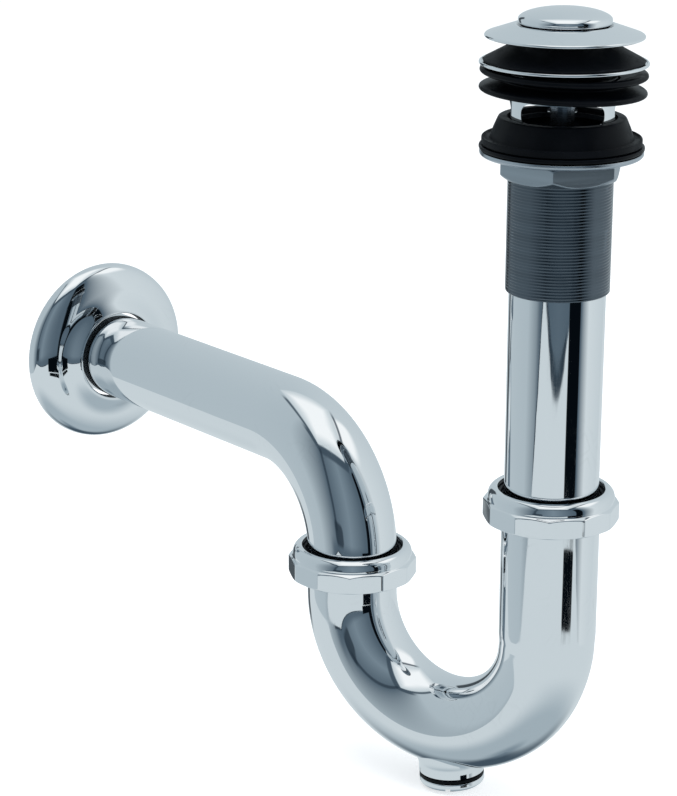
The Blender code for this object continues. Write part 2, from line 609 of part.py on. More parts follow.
clean_place = (bend_place @ Matrix.Translation((-BEND_R, 0, 0))
               @ Matrix.Rotation(math.pi - CLEAN_TURN, 4, "Y"))
j_bend = add("j_bend", stations_mesh("j_bend", skin_rows, TUBE_SIDES), chrome("chrome_bend"),
             bend_place)
smooth(j_bend)
boss_root = BEND_R + BOSS_R / 2
boss = helper(turned("boss", [(0, BOSS_END), (BOSS_R, BOSS_END), (BOSS_R, boss_root),
                              (0, boss_root)], SMALL_SIDES + 4, None, clean_place, on_axis=True))
combine(j_bend, boss, "UNION")
bore = helper(add("bend_bore", stations_mesh("bend_bore", bore_rows, TUBE_SIDES), None, bend_place))
combine(j_bend, bore, "DIFFERENCE")
hole_end = BOSS_END + CLEAN_HEAD_THICK
hole = helper(turned("boss_hole", [(0, hole_end), (CLEAN_BORE_R, hole_end),
                                   (CLEAN_BORE_R, BEND_R), (0, BEND_R)], SMALL_SIDES, None,
                     clean_place, on_axis=True))
combine(j_bend, hole, "DIFFERENCE")

# Cleanout gasket and slotted plug
turned("cleanout_gasket", ring_outline(CLEAN_BORE_R, BOSS_R - CLEAN_GASKET_INSET,
                                       CLEAN_GASKET_NEAR, CLEAN_GASKET_FAR), SMALL_SIDES,
       rubber("rubber_cleanout"), clean_place)
plug = [(0, CLEAN_HEAD_FAR), (CLEAN_HEAD_R - 1.1 * MM, CLEAN_HEAD_FAR),
        (CLEAN_HEAD_R - GAP, CLEAN_HEAD_FAR - EDGE), (CLEAN_HEAD_R, CLEAN_HEAD_FAR - 1.2 * MM),
        (CLEAN_HEAD_R, CLEAN_HEAD_NEAR + SLIP), (CLEAN_HEAD_R - SLIP, CLEAN_HEAD_NEAR),
        (SPIGOT_R, CLEAN_HEAD_NEAR), (SPIGOT_R, SPIGOT_END + EDGE), (SPIGOT_R - EDGE, SPIGOT_END),
        (0, SPIGOT_END)]
cleanout_plug = turned("cleanout_plug", plug, SMALL_SIDES + 4, chrome("chrome_cleanout"),
                       clean_place, on_axis=True)
slot_end = CLEAN_HEAD_R + CLEAN_HEAD_THICK
slot = block("plug_slot", (-slot_end, -SLOT_WIDTH / 2, CLEAN_HEAD_FAR - SLOT_DEPTH),
             (slot_end, SLOT_WIDTH / 2, hole_end + CLEAN_HEAD_THICK),
             clean_place @ Matrix.Rotation(SLOT_TURN, 4, "Z"))
combine(cleanout_plug, slot, "DIFFERENCE")

# Wall arm: stub, elbow and level tube
arm_place = Matrix.Translation((OUTLET.x, OUTLET.y, 0))


def arm_rows(radius, count):
    rows = [(0, ARM_FOOT, UP, radius)]
    for i in range(count + 1):
        a = math.pi / 2 * i / count
        rows.append((-ELBOW_R * (1 - math.cos(a)), ELBOW_Z + ELBOW_R * math.sin(a), UP + a, radius))
    rows.append((-ARM_END_S, ARM_Z, math.pi, radius))
    return rows


arm = stations_mesh("trap_arm", arm_rows(TUBE_R, 9), TUBE_SIDES,
                    ring_back=arm_rows(TUBE_R - TUBE_WALL, 6))
smooth(add("trap_arm", arm, chrome("chrome_arm"), arm_place))

# Wall cover: a pressed sheet turned about the arm, with its rim on the wall
cover_place = Matrix.Translation((OUTLET.x, OUTLET.y, ARM_Z)) @ Matrix.Rotation(-math.pi / 2, 4, "Y")
face_s = WALL_S - COVER_DEPTH
shoulder_s = WALL_S - 0.54 * COVER_DEPTH
cover = [(COVER_R - COVER_WALL, WALL_S), (COVER_R, WALL_S), (COVER_R, WALL_S - COVER_RIM),
         (COVER_R - 0.13 * COVER_SHOULDER, WALL_S - 0.27 * COVER_DEPTH),
         (COVER_R - 0.45 * COVER_SHOULDER, WALL_S - 0.41 * COVER_DEPTH),
         (COVER_R - COVER_SHOULDER, shoulder_s),
         (COVER_HOLE_R + COVER_LIP, face_s + COVER_WALL), (COVER_HOLE_R + GAP, face_s),
         (COVER_HOLE_R, face_s + GAP), (COVER_HOLE_R, face_s + 1.8 * COVER_WALL),
         (COVER_R - COVER_SHOULDER - GAP, shoulder_s + 1.3 * COVER_WALL),
         (COVER_R - 1.8 * COVER_WALL, WALL_S - 0.23 * COVER_DEPTH)]
turned("escutcheon", cover, FINE_SIDES + 4, chrome("chrome_cover"), cover_place)
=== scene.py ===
# %% [markdown]
# # A chrome basin trap, dressed for the camera
#
# The trap is a push plug and flanged drain body at the top, a straight tail, a U-shaped bend
# with two slip nuts and a cleanout, and an elbowed arm that runs to the wall through a round
# cover. The solids come from the shared frame. This lesson rebuilds each surface that shows
# with more facets and softer edges, and gives it its finish: bright plate, satin steel, rubber.

# %% Load the frame
import math

import bmesh
import bpy
from mathutils import Matrix, Vector


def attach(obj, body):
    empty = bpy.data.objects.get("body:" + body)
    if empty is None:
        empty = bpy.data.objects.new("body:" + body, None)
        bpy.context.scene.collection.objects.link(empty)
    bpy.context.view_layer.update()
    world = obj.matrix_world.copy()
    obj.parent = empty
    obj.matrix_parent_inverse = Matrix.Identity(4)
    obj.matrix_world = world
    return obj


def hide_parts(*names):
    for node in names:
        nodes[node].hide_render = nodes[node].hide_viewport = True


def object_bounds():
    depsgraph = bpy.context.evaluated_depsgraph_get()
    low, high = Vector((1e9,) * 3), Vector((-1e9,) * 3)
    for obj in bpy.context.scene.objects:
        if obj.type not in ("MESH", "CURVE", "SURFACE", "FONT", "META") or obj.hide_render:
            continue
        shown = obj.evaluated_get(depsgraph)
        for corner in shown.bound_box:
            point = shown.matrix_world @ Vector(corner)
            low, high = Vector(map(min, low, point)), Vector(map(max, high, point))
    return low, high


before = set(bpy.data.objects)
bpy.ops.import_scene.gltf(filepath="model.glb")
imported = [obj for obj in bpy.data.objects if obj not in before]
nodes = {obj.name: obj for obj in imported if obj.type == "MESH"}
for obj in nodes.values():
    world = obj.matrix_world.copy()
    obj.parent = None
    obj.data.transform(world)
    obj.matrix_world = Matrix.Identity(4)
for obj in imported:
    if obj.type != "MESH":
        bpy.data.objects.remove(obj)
cad_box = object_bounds()
MM = 0.001

# %% [markdown]
# ## The camera
#
# The photograph is taken with a long lens from a little above, so upright tubes stay almost
# parallel. A camera's axes can be written straight into its matrix, which is clearer than
# turning it by three angles: right, up and back are its columns, and its place is the last.

# %% Camera
VIEW_TURN = math.radians(50.71)
VIEW_RISE = math.radians(17.10)
VIEW_ROLL = math.radians(0.2)
VIEW_PLACE = Vector((0.5661, -0.5552, 0.1319))
IMAGE_WIDE, IMAGE_TALL = 677, 796
FOCAL_PIXELS = 2500         # focal length, in pixels of that image
FILM_TALL = 36              # height of the film in mm

level_right = Vector((math.cos(VIEW_TURN), math.sin(VIEW_TURN), 0))
toward_camera = Vector((math.sin(VIEW_TURN) * math.cos(VIEW_RISE),
                        -math.cos(VIEW_TURN) * math.cos(VIEW_RISE), math.sin(VIEW_RISE)))
level_up = toward_camera.cross(level_right)
view_right = math.cos(VIEW_ROLL) * level_right + math.sin(VIEW_ROLL) * level_up
view_up = toward_camera.cross(view_right)

camera_data = bpy.data.cameras.new("long_lens")
camera_data.sensor_fit = "VERTICAL"
camera_data.sensor_height = FILM_TALL
camera_data.lens = FILM_TALL * FOCAL_PIXELS / IMAGE_TALL
camera_data.clip_start = 0.01
camera = bpy.data.objects.new("long_lens", camera_data)
bpy.context.scene.collection.objects.link(camera)
axes = Matrix((view_right, view_up, toward_camera)).transposed().to_4x4()
camera.matrix_world = Matrix.Translation(VIEW_PLACE) @ axes
bpy.context.scene.camera = camera
bpy.context.scene.view_settings.view_transform = "Standard"
print("lens", round(camera_data.lens, 2), "mm, image taken as", IMAGE_WIDE, "x", IMAGE_TALL)

# %% [markdown]
# ## Small tools for shader nodes
#
# Node trees read better when each line says what feeds what. `put` adds a node and sets its
# inputs, and an input that is given another node's socket is linked instead. Everything below
# uses it, so no line of the finishes is about wiring.


# %% Nodes and links
def connect(tree, value, spot):
    """Links a socket into an input, or sets the input to a number or a colour."""
    if isinstance(value, bpy.types.NodeSocket):
        tree.links.new(value, spot)
    else:
        spot.default_value = value


def put(tree, kind, settings=None, **inputs):
    """Adds a node. Settings are its properties; inputs are set by name or by number (_0, _1)."""
    node = tree.nodes.new("ShaderNode" + kind)
    for key, value in (settings or {}).items():
        setattr(node, key, value)
    for key, value in inputs.items():
        label = int(key[1:]) if key[1:].isdigit() else key.replace("_", " ")
        connect(tree, value, node.inputs[label])
    return node


print("node helpers ready")


# %% Sums and masks
def calc(tree, operation, a, b=0.0, clamp=False):
    """One sum on numbers, which gives its output socket."""
    return put(tree, "Math", {"operation": operation, "use_clamp": clamp}, _0=a, _1=b).outputs[0]


def fade(tree, value, low, high, out_low=0.0, out_high=1.0):
    """A soft step: out_low below low, out_high above high."""
    node = put(tree, "MapRange", {"interpolation_type": "SMOOTHSTEP"}, Value=value,
               From_Min=low, From_Max=high, To_Min=out_low, To_Max=out_high)
    return node.outputs["Result"]


def between(tree, value, low, high, soft):
    """A mask that is 1 between low and high, with soft edges."""
    rise = fade(tree, value, low - soft, low + soft)
    fall = fade(tree, value, high - soft, high + soft, 1.0, 0.0)
    return calc(tree, "MULTIPLY", rise, fall)


print("mask helpers ready")


# %% Colours
def blend_colour(tree, mask, below, above):
    """Lays one colour over another by a mask. In a Mix node, colours are inputs 6 and 7."""
    node = put(tree, "Mix", {"data_type": "RGBA"}, _0=mask)
    for number, colour in ((6, below), (7, above)):
        full = (*colour, 1) if isinstance(colour, tuple) else colour
        connect(tree, full, node.inputs[number])
    return node.outputs[2]


def ramp(tree, value, stops):
    """Colour by position; a stop is (position, grey or colour)."""
    node = tree.nodes.new("ShaderNodeValToRGB")
    while len(node.color_ramp.elements) < len(stops):
        node.color_ramp.elements.new(0.5)
    for element, (position, tone) in zip(node.color_ramp.elements, stops):
        element.position = position
        element.color = (*tone, 1) if isinstance(tone, tuple) else (tone, tone, tone, 1)
    tree.links.new(value, node.inputs[0])
    return node.outputs[0]


print("colour helpers ready")

# %% [markdown]
# A node group is a small tree that can be placed in many materials. In Blender 4.5 its sockets
# belong to the group's interface, and the two end nodes show them inside the tree.


# %% Node groups
def group(name, inputs, outputs):
    """A shader node group with named sockets; it gives the tree and its two end nodes."""
    tree = bpy.data.node_groups.new(name, "ShaderNodeTree")
    for label, kind, default in inputs:
        socket = tree.interface.new_socket(label, in_out="INPUT", socket_type="NodeSocket" + kind)
        if default is not None:
            socket.default_value = default
    for label, kind in outputs:
        tree.interface.new_socket(label, in_out="OUTPUT", socket_type="NodeSocket" + kind)
    return tree, tree.nodes.new("NodeGroupInput").outputs, tree.nodes.new("NodeGroupOutput").inputs


def use_group(tree, which, **values):
    """Places a node group with its own values and gives its outputs."""
    node = tree.nodes.new("ShaderNodeGroup")
    node.node_tree = which
    for key, value in values.items():
        node.inputs[key].default_value = value
    return node.outputs


print("group helpers ready")

# %% [markdown]
# ## The studio
#
# Bright plate shows nothing but its surroundings. The surroundings here are a light tent: a
# white ceiling panel, four pale cloth walls and a pale floor, with dark seams at the corners on
# the camera's side, one of them an open black slit, and one fold behind. It can be painted in
# the world as a function of direction, which gives clean reflections and no noise. The camera
# itself sees plain white, and matt surfaces get an even light from the same world.
#
# In the world, a direction is turned into a bearing round the tent, 0 towards the camera and
# positive to its right, and a height above the horizon, both in degrees.

# %% Directions in the tent
tent, _, tent_out = group("light_tent", [], [("Colour", "Color")])
heading = put(tent, "TexCoord").outputs["Generated"]


def share_along(axis):
    """How much of the heading lies along an axis."""
    node = put(tent, "VectorMath", {"operation": "DOT_PRODUCT"}, _0=heading, _1=axis)
    return node.outputs["Value"]


def in_degrees(radians):
    """An angle in degrees, from one in radians."""
    return calc(tent, "MULTIPLY", radians, 180 / math.pi)


to_front = share_along(Vector((math.sin(VIEW_TURN), -math.cos(VIEW_TURN), 0)))
to_right = share_along(level_right)
bearing = in_degrees(calc(tent, "ARCTAN2", to_right, to_front))
height = in_degrees(calc(tent, "ARCSINE", share_along(Vector((0, 0, 1)))))
round_tent = calc(tent, "DIVIDE", calc(tent, "ADD", bearing, 180), 360)
print("tent directions ready")

# %% [markdown]
# An upright tube squeezes the whole tent into stripes, so five plain tones are enough: one for
# each side of the tent and one for the corners by the camera, where the cloth hangs in shade.
# They are written as the greys that the screen should show, since those are easy to think in,
# and `cloth` turns them into light.

# %% Cloth tones
PLATE_SENDS = 0.85          # share of the light that bright plate sends back
SCREEN_CURVE = 2.2          # power that turns a screen grey into light


def cloth(grey):
    """Light of the tent's cloth for a screen grey: the darker it is, the bluer."""
    level = (grey / 255) ** SCREEN_CURVE / PLATE_SENDS
    cool = 1 - min(grey / 255, 1)
    return (level * (1 - 0.50 * cool), level, level * (1 + 0.12 * cool + 0.55 * cool * cool))


def tone_ring(*tones):
    """Tones round the tent; a tone is (bearing, screen grey)."""
    return ramp(tent, round_tent, [((b + 180) / 360, cloth(t)) for b, t in tones])


print("cloth ready")


# %% Patches on the tent
def patch(left, right, low, high, corner, soft, stretch=1.0):
    """A mask for a rounded oblong between two bearings and two heights.

    Corner and soft are degrees of bearing; stretch is how many of them one degree of height
    is worth, for marks that an upright tube shows drawn out lengthwise.
    """
    sides = []
    for value, a, b, scale in ((bearing, left, right, 1.0), (height, low, high, stretch)):
        off = calc(tent, "ABSOLUTE", calc(tent, "SUBTRACT", value, (a + b) / 2))
        off = calc(tent, "MULTIPLY", off, scale)
        off = calc(tent, "SUBTRACT", off, (b - a) / 2 * scale - corner)
        sides.append(calc(tent, "MAXIMUM", off, 0.0))
    away = calc(tent, "SQRT", calc(tent, "ADD", calc(tent, "POWER", sides[0], 2),
                                   calc(tent, "POWER", sides[1], 2)))
    return fade(tent, away, corner + soft, corner - soft)


def lay(mask, amount, tone, under):
    """Lays one tone over what is under it."""
    return blend_colour(tent, calc(tent, "MULTIPLY", mask, amount), under, cloth(tone))


print("patches ready")

# %% [markdown]
# The tent is a box round the part. A level ray ends on the front or back wall if it points
# mostly that way, and on a side wall if not, so the larger of two shares tells how near the
# wall is. From that follow the heights at which the wall meets the ceiling and the floor. Both
# come nearer to the horizon at the corners, as the edges of a real box do.

# %% The tent as a box
SIDE_NEAR = 0.7             # how far the side walls are, where the front wall is 1 away
TENT_TALL = 1.6             # how far up the ceiling is
TENT_DEEP = 0.305           # how far down the floor is
toward_side = calc(tent, "DIVIDE", calc(tent, "ABSOLUTE", to_right), SIDE_NEAR)
wall_share = calc(tent, "MAXIMUM", calc(tent, "ABSOLUTE", to_front), toward_side)
level_share = calc(tent, "SQRT", calc(tent, "ADD", calc(tent, "POWER", to_front, 2),
                                      calc(tent, "POWER", to_right, 2)))


def wall_end(rise):
    """Height in degrees at which the walls end, for a ceiling or floor that far up."""
    return in_degrees(calc(tent, "ARCTAN2", calc(tent, "MULTIPLY", wall_share, rise),
                           level_share))


print("box ready")

# %% Tent: walls, in five tones
LEFT, BACK, RIGHT = 180, 190, 210
FRONT, CORNER = 130, 95
walls = tone_ring((-180, BACK), (-75, LEFT), (-35, CORNER), (0, FRONT), (35, CORNER),
                  (55, CORNER), (78, RIGHT), (180, BACK))
walls = lay(patch(80, 130, 42, 80, 8, 6), 1.0, 243, walls)
foot = calc(tent, "MULTIPLY", fade(tent, height, -7, -14), between(tent, bearing, -48, 56, 6))
walls = lay(foot, 0.8, 90, walls)
print("walls ready")

# %% Tent: floor, darker under the part and behind it, where its shadow lies
tent_floor = blend_colour(tent, fade(tent, height, -35, -60), cloth(205), cloth(170))
behind = fade(tent, calc(tent, "ABSOLUTE", bearing), 100, 165)
behind = calc(tent, "MULTIPLY", behind, fade(tent, height, -40, -58))
tent_floor = lay(behind, 1.0, 80, tent_floor)
tent_floor = lay(fade(tent, height, -76, -88), 0.8, 125, tent_floor)
over_floor = calc(tent, "SUBTRACT", height, wall_end(-TENT_DEEP))
lining = blend_colour(tent, fade(tent, over_floor, -0.14, 0.14), tent_floor, walls)
crease = calc(tent, "MULTIPLY", between(tent, over_floor, 0.0, 0.6, 0.15),
              between(tent, bearing, -52, 20, 2))
lining = lay(crease, 0.85, 50, lining)
print("floor ready")

# %% Tent: ceiling and the dark seam under it
over_line = calc(tent, "SUBTRACT", height, wall_end(TENT_TALL))
ceiling = blend_colour(tent, fade(tent, over_line, 0, 16), cloth(205), cloth(243))
lining = blend_colour(tent, fade(tent, over_line, -1.2, 1.2), lining, ceiling)
front_seam = calc(tent, "MULTIPLY", between(tent, over_line, -8.5, -0.8, 1.6),
                  between(tent, bearing, -62, 66, 8))
side_seam = calc(tent, "MULTIPLY", between(tent, over_line, -4.5, -0.8, 1.2),
                 between(tent, bearing, -126, 138, 8))
lining = lay(calc(tent, "MAXIMUM", front_seam, side_seam), 0.9, 76, lining)
print("ceiling ready")

# %% Tent: the folds at its corners and the open slit, which spreads at its foot
# The seam on the left, the shadow at its foot, and the fold behind.
lining = lay(patch(-35, -30.5, -4, 50, 2, 1.2), 0.75, 58, lining)
lining = lay(patch(-37, -19, -11, 1.5, 4, 1.5), 0.8, 52, lining)
lining = lay(patch(-159, -142, -26, 27, 3, 2), 0.9, 40, lining)
# The slit on the right: its length, its spread foot, and the mark under that.
slit = patch(40.5, 53, -20, 44, 3, 1.0)
slit_foot = patch(25.5, 54, -19.9, -11.8, 3, 1.0, stretch=30)
slit_end = patch(28, 52, -22.36, -20.38, 9, 1.0, stretch=100)
slit = calc(tent, "MAXIMUM", slit, calc(tent, "MAXIMUM", slit_foot, slit_end))
lining = lay(slit, 1.0, 18, lining)
tent.links.new(lining, tent_out["Colour"])
print("tent nodes:", len(tent.nodes))

# %% [markdown]
# One world has to serve three kinds of ray. A Light Path node tells them apart: the camera's
# rays get white, rays off shiny surfaces get the tent, and all others get an even light that
# is weaker than the tent, so that rubber stays dark. Two soft lamps then give the matt pieces
# a lit side. They are hidden from reflections, where they would show as hard bright squares.

# %% World: white for the camera, the tent for reflections, even light for the rest
world = bpy.data.worlds.new("studio")
bpy.context.scene.world = world
world.use_nodes = True
sky = world.node_tree
sky.nodes.clear()
ray = put(sky, "LightPath").outputs
even = put(sky, "Background", Color=(0.93, 0.97, 1.0, 1), Strength=0.62)
reflected = put(sky, "Background", Color=use_group(sky, tent)["Colour"], Strength=1.0)
white = put(sky, "Background", Color=(1, 1, 1, 1), Strength=1.0)
shiny = calc(sky, "MAXIMUM", ray["Is Glossy Ray"], ray["Is Transmission Ray"])
lit = put(sky, "MixShader", _0=shiny, _1=even.outputs[0], _2=reflected.outputs[0])
seen = put(sky, "MixShader", _0=ray["Is Camera Ray"], _1=lit.outputs[0], _2=white.outputs[0])
put(sky, "OutputWorld", Surface=seen.outputs[0])
print("world set")

# %% Soft lamps over and beside the trap
TRAP_MIDDLE = Vector((-0.10, -0.02, -0.12))


def soft_lamp(name, place, size, power):
    """An oblong lamp that faces the middle of the trap. Place and size are in metres."""
    data = bpy.data.lights.new(name, "AREA")
    data.shape = "RECTANGLE"
    data.size, data.size_y = size
    data.energy = power
    lamp = bpy.data.objects.new(name, data)
    bpy.context.scene.collection.objects.link(lamp)
    lamp.location = place
    lamp.rotation_euler = (TRAP_MIDDLE - Vector(place)).to_track_quat("-Z", "Y").to_euler()
    lamp.visible_glossy = False


soft_lamp("overhead_panel", (0.05, -0.15, 1.1), (1.0, 0.8), 7.0)
soft_lamp("side_panel", (0.9, 0.5, 0.35), (0.7, 0.9), 3.5)

# %% [markdown]
# ## The floor
#
# A pale sheet under the trap keeps its soft shadow. It is white to the camera, so that it
# runs into the white behind it, and it is left out of the reflections, where the tent's own
# floor is painted already.

# %% Pale floor
PAPER_REACH = 6.0
level = cad_box[0][2] - 0.5 * MM
corners = [(x * PAPER_REACH, y * PAPER_REACH, level)
           for x, y in ((-1, -1), (1, -1), (1, 1), (-1, 1))]
floor_mesh = bpy.data.meshes.new("paper")
floor_mesh.from_pydata(corners, [], [(0, 1, 2, 3)])
paper = bpy.data.objects.new("paper", floor_mesh)
bpy.context.scene.collection.objects.link(paper)
paper_finish = bpy.data.materials.new("pale_paper")
paper_finish.use_nodes = True
sheet = paper_finish.node_tree
sheet.nodes.clear()
sheet_ray = put(sheet, "LightPath").outputs
matt = put(sheet, "BsdfDiffuse", Color=(0.86, 0.87, 0.88, 1))
glow = put(sheet, "Emission", Color=(1, 1, 1, 1), Strength=0.52)
bright = put(sheet, "AddShader", _0=matt.outputs[0], _1=glow.outputs[0])
pick = put(sheet, "MixShader", _0=sheet_ray["Is Camera Ray"], _1=matt.outputs[0],
           _2=bright.outputs[0])
put(sheet, "OutputMaterial", Surface=pick.outputs[0])
floor_mesh.materials.append(paper_finish)
paper.visible_glossy = False
print("floor at", round(level / MM, 1), "mm")

# %% [markdown]
# ## Effects that several finishes share
#
# No bright plate is perfect. It has fine polishing lines, a slight unevenness that bends
# reflections, and faint dried water marks. Satin steel has turning lines round its axis.
# Rubber has a fine grain and a little dust. All of them are rubbed at their corners, and plate
# is painted nearly black as shade where two pieces nearly touch. Each effect is a node group
# that gives only a mask or a height, so that the same one can be laid in several materials at
# other strengths. The scale of a noise says how many of its marks fit in a metre.

# %% Group: polish, the marks of a buffed surface
polish, polish_in, polish_out = group(
    "polish_marks", [("Scale", "Float", 1.0)],
    [("Marks", "Float"), ("Waviness", "Float"), ("Spots", "Float")])
where = put(polish, "TexCoord").outputs["Object"]
sized = put(polish, "VectorMath", {"operation": "SCALE"}, _0=where,
            Scale=polish_in["Scale"]).outputs[0]
drawn = put(polish, "Mapping", Vector=sized, Scale=(900, 900, 60)).outputs[0]
lines = put(polish, "TexNoise", Vector=drawn, Scale=1.0, Detail=3.0, Roughness=0.6).outputs[0]
swell = put(polish, "TexNoise", Vector=sized, Scale=55.0, Detail=1.0).outputs[0]
drops = put(polish, "TexVoronoi", {"feature": "DISTANCE_TO_EDGE"}, Vector=sized,
            Scale=120.0).outputs["Distance"]
patchy = put(polish, "TexNoise", Vector=sized, Scale=38.0, Detail=2.0).outputs[0]
ring_mark = between(polish, drops, 0.10, 0.16, 0.04)
rare = fade(polish, patchy, 0.56, 0.70)
polish.links.new(fade(polish, lines, 0.35, 0.75), polish_out["Marks"])
polish.links.new(swell, polish_out["Waviness"])
polish.links.new(calc(polish, "MULTIPLY", ring_mark, rare), polish_out["Spots"])
print("polish_marks ready")

# %% Group: turning lines, left by a lathe round the upright axis
turning, turning_in, turning_out = group("turning_lines", [("Pitch", "Float", 0.25)],
                                         [("Lines", "Float")])
spot = put(turning, "SeparateXYZ", _0=put(turning, "TexCoord").outputs["Object"]).outputs
lines_a_metre = calc(turning, "DIVIDE", 1000.0, turning_in["Pitch"])
step_up = calc(turning, "MULTIPLY", spot["Z"], lines_a_metre)
along = put(turning, "CombineXYZ", X=calc(turning, "MULTIPLY", spot["X"], 9.0),
            Y=calc(turning, "MULTIPLY", spot["Y"], 9.0), Z=step_up).outputs[0]
grooves = put(turning, "TexNoise", Vector=along, Scale=1.0, Detail=2.0).outputs[0]
turning.links.new(grooves, turning_out["Lines"])
print("turning_lines ready")

# %% Group: worn edges, where handling has rubbed a corner
worn, worn_in, worn_out = group(
    "worn_edges", [("Low", "Float", 0.52), ("High", "Float", 0.60)], [("Mask", "Float")])
sharp = put(worn, "NewGeometry").outputs["Pointiness"]
break_up = put(worn, "TexNoise", Vector=put(worn, "TexCoord").outputs["Object"], Scale=420.0,
               Detail=3.0).outputs[0]
edge = put(worn, "MapRange", Value=sharp, From_Min=worn_in["Low"],
           From_Max=worn_in["High"]).outputs[0]
worn.links.new(calc(worn, "MULTIPLY", edge, fade(worn, break_up, 0.35, 0.6)), worn_out["Mask"])
print("worn_edges ready")

# %% Group: rubber grain, the dull bloom and dust of moulded rubber
grain, grain_in, grain_out = group(
    "rubber_grain", [("Grain", "Float", 2600.0)], [("Height", "Float"), ("Bloom", "Float")])
here = put(grain, "TexCoord").outputs["Object"]
fine = put(grain, "TexNoise", Vector=here, Scale=grain_in["Grain"], Detail=2.0).outputs[0]
cloudy = put(grain, "TexNoise", Vector=here, Scale=95.0, Detail=4.0, Roughness=0.6).outputs[0]
grain.links.new(fine, grain_out["Height"])
grain.links.new(fade(grain, cloudy, 0.42, 0.68), grain_out["Bloom"])
print("rubber_grain ready")

# %% Group: gap shade, painted shade where two pieces nearly touch, found by ambient occlusion
gap_shade, shade_in, shade_out = group("gap_shade", [("Reach", "Float", 0.0016)],
                                       [("Open", "Float")])
shelter = put(gap_shade, "AmbientOcclusion", {"samples": 8},
              Distance=shade_in["Reach"]).outputs["AO"]
gap_shade.links.new(fade(gap_shade, shelter, 0.12, 0.50), shade_out["Open"])
print("gap_shade ready")

# %% [markdown]
# ## The finishes
#
# Three families cover the trap. Bright plate is a metal with almost no roughness; what makes
# it read as chrome is its cool tint and the tent round it. Satin steel is darker and rougher.
# Rubber is nearly black and matt, with a soft shine where it bends. Each piece gets a
# material of its own from its family, with its own amounts, since each piece was made apart.


# %% Finish helpers
def start_finish(name):
    """A new material, with its node tree and its Principled shader."""
    made = bpy.data.materials.new(name)
    made.use_nodes = True
    return made, made.node_tree, made.node_tree.nodes["Principled BSDF"]


def feed(tree, shader, **inputs):
    """Sets or links the shader's inputs by name."""
    for key, value in inputs.items():
        connect(tree, value, shader.inputs[key.replace("_", " ")])


def times(tint, share):
    """A tint made darker or lighter, but never brighter than 0.9."""
    return tuple(min(c * share, 0.9) for c in tint)


print("finish helpers ready")


# %% Bright plate
def bright_plate(name, tint=(0.845, 0.865, 0.88), rough=0.02, wavy=0.05, marks=0.03):
    """Chrome plate: polished, a little uneven, with faint lines and water marks."""
    made, tree, shader = start_finish(name)
    polished = use_group(tree, polish, Scale=1.0)
    rubbed = use_group(tree, worn, Low=0.53, High=0.64)
    spotted = calc(tree, "MULTIPLY", polished["Spots"], 0.35)
    colour = blend_colour(tree, spotted, tint, times(tint, 0.90))
    colour = blend_colour(tree, calc(tree, "MULTIPLY", rubbed["Mask"], 0.25), colour,
                          (0.93, 0.93, 0.92))
    # Painted shade: the plate's colour goes nearly black where another piece is near.
    free = use_group(tree, gap_shade)["Open"]
    colour = blend_colour(tree, free, (0.02, 0.024, 0.03), colour)
    haze = calc(tree, "MULTIPLY", polished["Marks"], marks)
    haze = calc(tree, "ADD", haze, calc(tree, "MULTIPLY", polished["Spots"], 0.06))
    bump = put(tree, "Bump", Strength=wavy, Distance=0.001, Height=polished["Waviness"])
    feed(tree, shader, Base_Color=colour, Metallic=1.0, Roughness=calc(tree, "ADD", haze, rough),
         Normal=bump.outputs[0])
    return made


print("bright_plate ready")


# %% Satin steel
def satin_steel(name, tint=(0.36, 0.40, 0.45), rough=0.30, pitch=0.25, depth=0.25):
    """Turned grey metal with fine lines and lighter, rubbed corners."""
    made, tree, shader = start_finish(name)
    turned_lines = use_group(tree, turning, Pitch=pitch)["Lines"]
    rubbed = use_group(tree, worn, Low=0.52, High=0.60)
    colour = blend_colour(tree, fade(tree, turned_lines, 0.3, 0.7), times(tint, 0.82), tint)
    colour = blend_colour(tree, calc(tree, "MULTIPLY", rubbed["Mask"], 0.5), colour,
                          times(tint, 1.8))
    bump = put(tree, "Bump", Strength=depth, Distance=0.0001, Height=turned_lines)
    feed(tree, shader, Base_Color=colour, Metallic=1.0, Normal=bump.outputs[0],
         Roughness=fade(tree, turned_lines, 0.2, 0.8, rough - 0.06, rough + 0.08))
    return made


print("satin_steel ready")


# %% Black rubber
def black_rubber(name, tint=(0.0016, 0.0024, 0.0040), rough=0.42, bloom=0.4):
    """Moulded rubber: nearly black, with a grey-blue bloom in places."""
    made, tree, shader = start_finish(name)
    moulded = use_group(tree, grain, Grain=2600.0)
    rubbed = use_group(tree, worn, Low=0.52, High=0.62)
    dusty = tuple(c * 2.0 + 0.001 for c in tint)
    colour = blend_colour(tree, calc(tree, "MULTIPLY", moulded["Bloom"], bloom), tint, dusty)
    colour = blend_colour(tree, calc(tree, "MULTIPLY", rubbed["Mask"], 0.6), colour,
                          (0.014, 0.019, 0.026))
    bump = put(tree, "Bump", Strength=0.12, Distance=0.0002, Height=moulded["Height"])
    feed(tree, shader, Base_Color=colour, Metallic=0.0, Normal=bump.outputs[0],
         Specular_IOR_Level=0.11,
         Roughness=fade(tree, moulded["Bloom"], 0.0, 1.0, rough, rough + 0.16))
    return made


print("black_rubber ready")

# %% [markdown]
# ## Tools for shapes
#
# Nearly every piece here is turned, so the main tool spins an outline about an axis. An
# outline is a list of corners, each with a radius, a height and how far the corner is
# softened. Softening puts a small curve in place of the corner, as a die or a polishing wheel
# leaves it, and it is what catches a line of light along each edge.

# %% Softened outlines
ROUND = 160                 # facets round a large piece
SHARP = 38                  # degrees between two faces that make a sharp edge
HOLD = 0.12                 # narrow band in mm beside each softened corner


